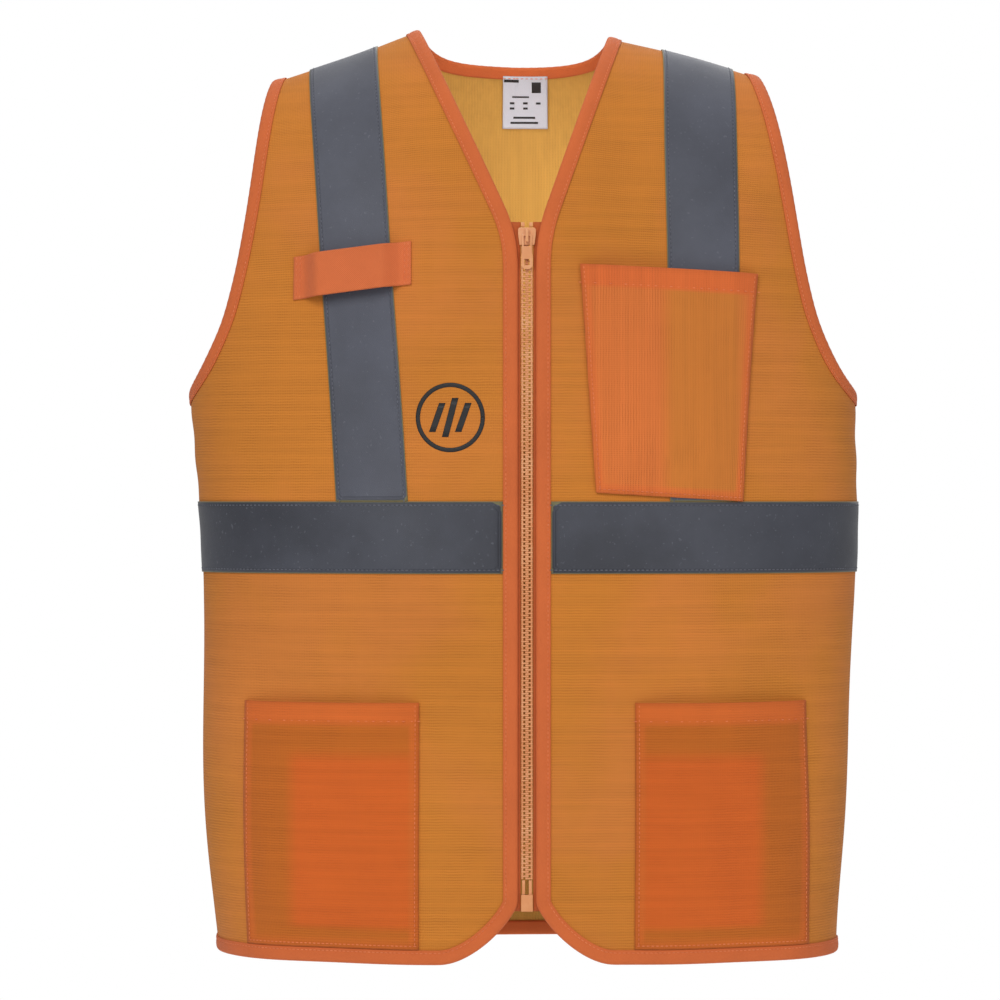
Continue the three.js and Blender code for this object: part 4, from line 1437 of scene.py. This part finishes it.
@dataclass
class Pockets:
    """Patch pockets on the fronts, and the two inner pockets behind them.

    A pocket's edges are turned in and sewn down, its mouth has a hem, and its middle stands out by the
    crown. The rests are the distances at which the sewn edges lie.
    """

    sewing: Sewing
    fabric: float = 0.8 * MM
    fold: float = 0.6 * MM
    hem: float = 14 * MM
    hem_step: float = 1.2 * MM
    turned_edge: float = 5 * MM
    turned_share: float = 0.6
    crown: float = 6.5 * MM
    crown_power: float = 3.2
    ripple: float = 0.35 * MM
    seam_inset: float = 2.6 * MM
    groove: float = 0.3 * MM
    groove_half: float = 0.9 * MM
    lower_rest: float = 0.3 * MM
    chest_rest: float = 1.3 * MM
    inner_rest: float = 1.9 * MM
    chest_tilt: float = 6 * MM
    chest_narrowing: float = 0.18
    rows: int = 60
    columns: int = 48
    thread: Shape = field(default_factory=Shape)

    def build(self) -> None:
        """Makes all pockets, then their stitches."""
        self.chest()
        for side in Side:
            self.lower(side)
            self.inner(side)
        self.thread.piece("pocket_stitches", self.sewing.finishes.thread)

    def groove_at(self, distance: np.ndarray) -> np.ndarray:
        """Dip that a row of stitches pulls into the cloth, 1 where the distance from it is none."""
        return np.exp(-(distance / self.groove_half) ** 2)

    def patch_pocket(self, name: str, node: str, corners: Corners, rest: float, outward: int,
                     material: bpy.types.Material, rests_on: str) -> None:
        """One patch pocket.

        Args:
            name: the piece's name.
            node: the frame node that it stands for.
            corners: its four (x, z) corners.
            rest: distance at which its sewn edges lie.
            outward: 1 on the outside of a front, -1 on its inside.
            material: its finish.
            rests_on: the piece that it is sewn to.
        """
        s = self.sewing
        patch = s.cutter.quad(Face.FRONT, corners, self.rows, self.columns)
        over = np.linspace(-1, 1, self.columns)[None, :]
        up = np.linspace(0, 1, self.rows)[:, None]
        height = abs(corners[3][1] - corners[0][1])
        width = abs(corners[2][0] - corners[3][0])
        from_side = (1 - np.abs(over)) * width / 2
        from_foot, from_top = up * height, (1 - up) * height
        belly = (1 - np.abs(over) ** self.crown_power) * smooth_step(from_foot, 0.0, 45 * MM)
        ripple = self.ripple * np.sin(over * 9 + up * 7) * smooth_step(from_side, 0.0, 20 * MM)
        near = rest + self.crown * belly * (0.75 + 0.25 * up) + ripple * smooth_step(from_foot, 0.0, 30 * MM)
        turned = 1 - smooth_step(from_top, self.hem, self.hem + self.hem_step)
        for distance in (from_side, from_foot):
            edge = 1 - smooth_step(distance, self.turned_edge, self.turned_edge + 1.4 * MM)
            turned = np.maximum(turned, self.turned_share * edge)
        groove = np.maximum(self.groove_at(from_top - self.hem + self.hem_step),
                            0.8 * self.groove_at(from_side - self.seam_inset))
        thick = self.fabric + self.fold * turned - self.groove * groove
        shape = Shape()
        flat = s.tailor.slab(shape, patch, outward * near, outward * (near + thick), turned)
        s.sheet(shape.piece(name, material), flat, node, "pocket", [rests_on])
        self.pocket_seams(corners, near, thick, outward)

    def pocket_seams(self, corners: Corners, near: np.ndarray, thick: np.ndarray, outward: int) -> None:
        """Stitches round the closed edges and along the mouth's hem.

        Args:
            corners: the pocket's four (x, z) corners.
            near: distance of its back at each site.
            thick: its thickness at each site.
            outward: 1 on the outside of a front, -1 on its inside.
        """
        a, b, c, d = (np.array(p) for p in corners)
        inset = self.seam_inset
        foot_in, mouth_in = np.array([0, inset]), np.array([0, self.hem_step - self.hem])
        side_in = np.array([inset, 0])
        lift = float(thick[thick.shape[0] // 2, 1]) + 0.3 * MM
        tailor = self.sewing.tailor
        rest = float(near[0, 0])
        for start, end in ((a + foot_in + side_in, b + foot_in - side_in),
                           (a + 1.6 * foot_in + side_in, d + side_in - foot_in),
                           (b + 1.6 * foot_in - side_in, c - side_in - foot_in)):
            line = straight_line(start, end)
            share = inset / abs(c[0] - d[0]) * 2
            extra = self.crown * (1 - (1 - share) ** self.crown_power) if start[1] != end[1] else 0.0
            tailor.seam(self.thread, line, Face.FRONT, outward * (rest + lift + 0.75 * extra))
        self.mouth_seam(d + mouth_in, c + mouth_in, near, thick, outward)

    def mouth_seam(self, start: np.ndarray, end: np.ndarray, near: np.ndarray, thick: np.ndarray,
                   outward: int) -> None:
        """Stitches along the hem of the mouth, in short runs that follow the pocket's belly.

        Args:
            start: (x, z) of the first stitch.
            end: (x, z) of the last stitch.
            near: distance of the pocket's back at each site.
            thick: its thickness at each site.
            outward: 1 on the outside of a front, -1 on its inside.
        """
        runs, hem_share = 12, 0.91
        row = int(near.shape[0] * hem_share)
        for k in range(runs):
            shares = np.array([k, k + 1]) / runs
            spots = [start + (end - start) * share for share in shares]
            column = int(shares.mean() * (near.shape[1] - 1))
            out = near[row, column] + thick[row, column] - 0.1 * MM
            self.sewing.tailor.seam(self.thread, straight_line(*spots), Face.FRONT, outward * float(out))

    def chest(self) -> None:
        """Chest pocket, over the foot of the left shoulder tape."""
        corners = corners_of("chest_pocket", self.chest_narrowing, self.chest_tilt)
        self.patch_pocket("chest_pocket_cloth", "chest_pocket", corners, self.chest_rest, 1,
                          self.sewing.finishes.pocket, "left_shoulder_reflector_front")

    def lower(self, side: Side) -> None:
        """One lower pocket."""
        node = f"{side}_lower_pocket"
        self.patch_pocket(f"{side}_lower_pocket_cloth", node, corners_of(node), self.lower_rest, 1,
                          self.sewing.finishes.lower_pocket, f"{side}_front_knit")

    def inner(self, side: Side) -> None:
        """One inner pocket, behind a lower one."""
        node = f"{side}_inner_pocket"
        self.patch_pocket(f"{side}_inner_pocket_cloth", node, corners_of(node), self.inner_rest, -1,
                          self.sewing.finishes.pocket, f"{side}_front_knit")


@dataclass
class Trims:
    """Radio tab, label and printed mark."""

    sewing: Sewing
    tab_tilt: float = 10 * MM
    tab_rest: float = 0.3 * MM
    tab_stand: float = 9.6 * MM
    tab_thick: float = 1.0 * MM
    tab_wave: float = 0.25 * MM
    tab_rows: int = 22
    tab_columns: int = 64
    tab_seams: tuple[float, ...] = (0.025, 0.055, 0.945, 0.975)
    label_outer: float = -2.3 * MM
    label_thick: float = 0.6 * MM
    label_bow: float = 0.5 * MM
    label_rows: int = 24
    label_columns: int = 20
    print_thick: float = 0.12 * MM
    mark_centre: tuple[float, float] = (-53 * MM, -274 * MM)
    mark_radii: tuple[float, float] = (21 * MM, 24 * MM)
    mark_bars: tuple[tuple[float, float], ...] = ((-9 * MM, 20 * MM), (0.0, 27 * MM), (9 * MM, 20 * MM))
    mark_bar_width: float = 4.5 * MM
    mark_bar_slant: float = 3.5 * MM
    thread: Shape = field(default_factory=Shape)

    def build(self) -> None:
        """Makes the trims."""
        self.tab()
        self.label()
        self.mark()
        self.thread.piece("trim_stitches", self.sewing.finishes.thread)

    def tab(self) -> None:
        """Strap sewn down at both ends, arched clear of the tape behind it."""
        s, node = self.sewing, "radio_tab"
        start, end, tilt = low(node), high(node), self.tab_tilt
        corners = [(start[0], start[2]), (end[0], start[2] + tilt), (end[0], end[2]),
                   (start[0], end[2] - tilt)]
        patch = s.cutter.quad(Face.FRONT, corners, self.tab_rows, self.tab_columns)
        over = np.linspace(-1, 1, self.tab_columns)[None, :]
        up = np.linspace(0, 1, self.tab_rows)[:, None]
        arch = smooth_step(1 - np.abs(over), 0.14, 0.5)
        wave = self.tab_wave * (1 + np.sin(up * 5 + over * 3))
        near = self.tab_rest + (self.tab_stand + wave) * arch
        hem = 0.25 * MM * (1 - smooth_step(np.minimum(up, 1 - up), 0.05, 0.1))
        shape = Shape()
        flat = s.tailor.slab(shape, patch, near, near + self.tab_thick + hem)
        s.sheet(shape.piece("radio_tab_strap", s.finishes.tab), flat, node, "binding",
                ["right_shoulder_reflector_front"])
        a, b, c, d = (np.array(p) for p in corners)
        inset = np.array((0, 1.5 * MM))
        for share in self.tab_seams:
            line = straight_line(a + (b - a) * share + inset, d + (c - d) * share - inset)
            s.tailor.seam(self.thread, line, Face.FRONT, self.tab_rest + self.tab_thick + 0.1 * MM)

    def flat_patch(self, centre: tuple[float, float], size: tuple[float, float], face: Face,
                   slant: float = 0.0) -> Patch:
        """Small rectangle on the cloth.

        Args:
            centre: (x, z) of its middle.
            size: its width and height.
            face: the front or the back.
            slant: how far its top leans over from its middle.

        Returns:
            The patch.
        """
        (x, z), (half_x, half_z) = centre, (size[0] / 2, size[1] / 2)
        return self.sewing.cutter.quad(face, [
            (x - half_x - slant, z - half_z), (x + half_x - slant, z - half_z),
            (x + half_x + slant, z + half_z), (x - half_x + slant, z + half_z)], 6, 8)

    def label(self) -> None:
        """White label inside the back of the neck, with plain bars and squares on it."""
        s, node = self.sewing, "size_label"
        (left, _, foot), (right, _, top) = low(node), high(node)
        wide, tall = right - left, top - foot
        patch = s.cutter.quad(Face.BACK, corners_of(node), self.label_rows, self.label_columns)
        printed = self.label_outer - self.label_thick

        def bow(z: np.ndarray) -> np.ndarray:
            """Curve of the label away from the back at a level."""
            return -self.label_bow * np.sin(math.pi * (z - foot) / tall)
        shape = Shape()
        flat = s.tailor.slab(shape, patch, bow(patch.z) + printed, bow(patch.z) + self.label_outer)
        s.sheet(shape.piece("size_label_satin", s.finishes.label), flat, node, "label", ["back_knit_panel"])
        # Middle, width and height of each bar, as shares of the label.
        bars = [(-0.3, 0.42, 0.36, 0.05), (0.26, 0.3, 0.2, 0.2), (-0.1, 0.12, 0.4, 0.03),
                (-0.3, 0.0, 0.1, 0.04), (0.02, 0.0, 0.1, 0.04), (0.3, 0.0, 0.1, 0.04),
                (-0.3, -0.1, 0.1, 0.04), (0.02, -0.1, 0.1, 0.04),
                (-0.02, -0.28, 0.5, 0.04), (-0.02, -0.38, 0.62, 0.04)]
        ink = Shape()
        for across, up, share_x, share_z in bars:
            centre = ((left + right) / 2 + across * wide, (foot + top) / 2 + up * tall)
            mark = self.flat_patch(centre, (share_x * wide, share_z * tall), Face.BACK)
            near = bow(mark.z) + printed
            s.tailor.slab(ink, mark, near - 0.15 * MM, near - 0.02 * MM)
        ink.piece("label_print", s.finishes.ink)
        seam = straight_line((left + MM, top - 1.3 * MM), (right - MM, top - 1.3 * MM))
        s.tailor.seam(self.thread, seam, Face.BACK, printed - 0.2 * MM)

    def mark(self) -> None:
        """Plain printed ring with three slanted bars, on the right chest."""
        s, (x, z), near = self.sewing, self.mark_centre, 0.08 * MM
        turn = np.linspace(0, TURN, 121)[None, :]
        radius = np.linspace(*self.mark_radii, 4)[:, None]
        patches = [Patch(Face.FRONT, x + radius * np.cos(turn), z + radius * np.sin(turn))]
        for shift, tall in self.mark_bars:
            size = (self.mark_bar_width, tall)
            patches.append(self.flat_patch((x + shift, z), size, Face.FRONT, self.mark_bar_slant))
        ink = Shape()
        for patch in patches:
            s.tailor.slab(ink, patch, near, near + self.print_thick)
        ink.piece("chest_print", s.finishes.ink)


@dataclass
class Zip:
    """Tapes, chain, stops, box, pin, slider and pull of the front zip.

    A tooth is a block beside the middle line with a wider head across it, and all teeth of a row stand
    on one bead. The mouldings are given as node, body and how far the edges are rounded.
    """

    sewing: Sewing
    pitch: float = 3 * MM
    tooth: tuple[float, float, float] = (3.8 * MM, 2.4 * MM, 1.14 * MM)
    tooth_place: float = 2.1 * MM
    tooth_bevel: float = 0.3 * MM
    head: tuple[float, float, float] = (2.1 * MM, 1.7 * MM, 1.425 * MM)
    head_place: float = -0.15 * MM
    head_bevel: float = 0.28 * MM
    bead: float = 1.5 * MM
    bead_place: float = 3.2 * MM
    bead_bevel: float = 0.5 * MM
    tape_outer: float = -2.15 * MM
    tape_thick: float = 0.6 * MM
    tape_rows: int = 160
    tape_columns: int = 10
    stop_bevel: float = 0.35 * MM
    mouldings: tuple[tuple[str, str, float], ...] = (
        ("retainer_box", "vest", 0.5 * MM), ("insertion_pin", "vest", 0.25 * MM),
        ("slider", "slider", 0.32 * MM), ("pull_tab", "pull", 0.3 * MM))

    def build(self) -> None:
        """Makes the zip from its tapes outwards."""
        for side in Side:
            self.tape(side)
            self.chain(side)
            self.refined(f"{side}_top_stop", "vest", self.stop_bevel)
        for node, body, bevel in self.mouldings:
            self.refined(node, body, bevel)

    def tape(self, side: Side) -> None:
        """One woven zip tape behind a front's edge.

        Args:
            side: the front.
        """
        s, node = self.sewing, f"{side}_zip_tape"
        patch = s.cutter.quad(Face.FRONT, corners_of(node), self.tape_rows, self.tape_columns)
        shape = Shape()
        flat = s.tailor.slab(shape, patch, self.tape_outer - self.tape_thick, self.tape_outer)
        s.sheet(shape.piece(f"{side}_zip_weave", s.finishes.zip_tape), flat, node, "zip_tape",
                [f"{side}_front_knit"])

    def parts_of(self, made: bmesh.types.BMesh) -> tuple[np.ndarray, Faces]:
        """Takes a finished bmesh apart.

        Args:
            made: the bmesh, which is freed.

        Returns:
            Its vertices and faces.
        """
        made.verts.index_update()
        points = np.array([v.co[:] for v in made.verts])
        faces = [tuple(v.index for v in f.verts) for f in made.faces]
        made.free()
        return points, faces

    def block(self, size: Sequence[float], bevel: float) -> tuple[np.ndarray, Faces]:
        """Makes a block with rounded edges.

        Args:
            size: its three sides.
            bevel: how far the edges are rounded.

        Returns:
            Its vertices and faces.
        """
        made = bmesh.new()
        bmesh.ops.create_cube(made, size=1.0)
        bmesh.ops.scale(made, vec=Vector(size), verts=made.verts)
        bmesh.ops.bevel(made, geom=list(made.edges), offset=bevel, segments=2, affect="EDGES", profile=0.6)
        return self.parts_of(made)

    def chain(self, side: Side) -> None:
        """One row of moulded teeth on its bead.

        Args:
            side: the front.
        """
        node, sign = f"{side}_zip_teeth", side.sign
        start, end = low(node), high(node)
        y, middle = (start[1] + end[1]) / 2, (start[2] + end[2]) / 2
        tooth, tooth_faces = self.block(self.tooth, self.tooth_bevel)
        head, head_faces = self.block(self.head, self.head_bevel)
        bead, bead_faces = self.block((self.bead, self.bead, end[2] - start[2]), self.bead_bevel)
        shape = Shape()
        shape.add(bead + (sign * self.bead_place, y, middle), bead_faces)
        first = start[2] + (0.25 if side is Side.LEFT else 0.75) * self.pitch
        for z in np.arange(first, end[2] - self.tooth[2] / 2, self.pitch):
            shape.add(tooth + (sign * self.tooth_place, y, z), tooth_faces)
            shape.add(head + (sign * self.head_place, y, z), head_faces)
        piece = shape.piece(f"{side}_zip_chain", self.sewing.finishes.plastic)
        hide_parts(node)

    def refined(self, node: str, body: str, bevel: float) -> None:
        """Moulding that stands in a node's place, with rounded edges.

        Args:
            node: the frame node.
            body: the body that it rides on.
            bevel: how far the edges are rounded.
        """
        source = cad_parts[node]
        made = bmesh.new()
        made.from_mesh(source.data)
        made.transform(source.matrix_world)
        bmesh.ops.remove_doubles(made, verts=made.verts, dist=0.01 * MM)
        bmesh.ops.dissolve_limit(made, angle_limit=math.radians(1), verts=made.verts, edges=made.edges)
        sharp = [e for e in made.edges if len(e.link_faces) == 2 and e.calc_face_angle(0) > math.radians(25)]
        bmesh.ops.bevel(made, geom=sharp, offset=bevel, segments=3, affect="EDGES", profile=0.55,
                        clamp_overlap=True)
        shape = Shape()
        shape.add(*self.parts_of(made))
        piece = shape.piece(f"{node}_moulding", self.sewing.finishes.plastic, body)
        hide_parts(node)


# Stage --------------------------------------------------------------------------------------------

@dataclass(frozen=True)
class Lamp:
    """One square soft light: where it stands, its side in metres and its power in watts."""

    name: str
    place: tuple[float, float, float]
    size: float
    power: float
    target: tuple[float, float, float] = (0.0, 0.0, -0.33)

    def build(self) -> None:
        """Makes the light and turns it to its target."""
        data = bpy.data.lights.new(self.name, "AREA")
        data.size, data.energy = self.size, self.power
        lamp = bpy.data.objects.new(self.name, data)
        lamp.location = self.place
        lamp.visible_camera = False
        way = Vector(self.target) - Vector(self.place)
        lamp.rotation_euler = way.to_track_quat("-Z", "Y").to_euler()
        bpy.context.scene.collection.objects.link(lamp)


@dataclass
class Studio:
    """Pale floor and surroundings, soft lights and the camera."""

    lamps: tuple[Lamp, ...] = (
        Lamp("key_light", (-0.9, -3.1, 1.5), 1.8, 56),
        Lamp("fill_light", (1.5, -3.0, 0.1), 2.2, 17),
        Lamp("top_light", (0.0, 0.7, 2.2), 2.0, 24),
        Lamp("back_light", (0.6, 3.0, 1.0), 2.4, 40),
        Lamp("neck_light", (0.0, -0.03, -0.13), 0.12, 0.13, (0.0, 1.0, -0.1)))
    floor_drop: float = 0.35
    floor_radius: float = 1.6
    distance: float = 3.0
    aim: tuple[float, float] = (-18.6 * MM, -331 * MM)
    lens: float = 150.7
    surroundings: float = 0.36

    def build(self) -> None:
        """Makes the stage."""
        self.floor()
        for lamp in self.lamps:
            lamp.build()
        self.world()
        self.camera()

    def floor(self) -> None:
        """Round pale floor below the vest."""
        ground, sides = CAD_BOX[0][2] - self.floor_drop, 96
        turns = [TURN * k / sides for k in range(sides)]
        points = [(self.floor_radius * math.cos(a), self.floor_radius * math.sin(a), ground) for a in turns]
        mesh = bpy.data.meshes.new("studio_floor")
        mesh.from_pydata(points, [], [tuple(range(sides))])
        floor = bpy.data.objects.new("studio_floor", mesh)
        bpy.context.scene.collection.objects.link(floor)
        s = Shader("studio_paper", 0.9, {})
        grain = s.noise(300.0, 2.0)
        pale = s.blend(grain, (0.9, 0.9, 0.9), (0.93, 0.93, 0.93))
        mesh.materials.append(s.finish(pale, None, grain, 0.05 * MM))

    def world(self) -> None:
        """Even pale surroundings."""
        world = bpy.data.worlds.new("studio")
        world.use_nodes = True
        tree = world.node_tree
        background, seen = tree.nodes["Background"], tree.nodes.new("ShaderNodeLightPath")
        strength = tree.nodes.new("ShaderNodeMapRange")
        strength.inputs["To Min"].default_value = self.surroundings
        tree.links.new(seen.outputs["Is Camera Ray"], strength.inputs["Value"])
        tree.links.new(strength.outputs[0], background.inputs["Strength"])
        background.inputs["Color"].default_value = (1.0, 1.0, 1.0, 1.0)
        bpy.context.scene.world = world
        bpy.context.scene.view_settings.view_transform = "Standard"

    def camera(self) -> None:
        """Camera straight in front of the vest."""
        data = bpy.data.cameras.new("camera")
        data.lens, data.sensor_width, data.clip_end = self.lens, 36.0, 30.0
        camera = bpy.data.objects.new("camera", data)
        camera.location = (self.aim[0], -self.distance, self.aim[1])
        camera.rotation_euler = (math.pi / 2, 0.0, 0.0)
        bpy.context.scene.collection.objects.link(camera)
        bpy.context.scene.camera = camera


def main() -> None:
    """Builds the vest and its stage."""
    logging.basicConfig(level=logging.INFO, format="%(name)s %(message)s")
    torso = Torso()
    cutter = Cutter(torso)
    sewing = Sewing(torso, cutter, Tailor(cutter), Finishes())
    Shell(sewing).build()
    Tapes(sewing).build()
    Pockets(sewing).build()
    Trims(sewing).build()
    Zip(sewing).build()
    sewing.tailor.thread.piece("binding_stitches", sewing.finishes.thread)
    Studio().build()


if __name__ == "__main__":
    main()
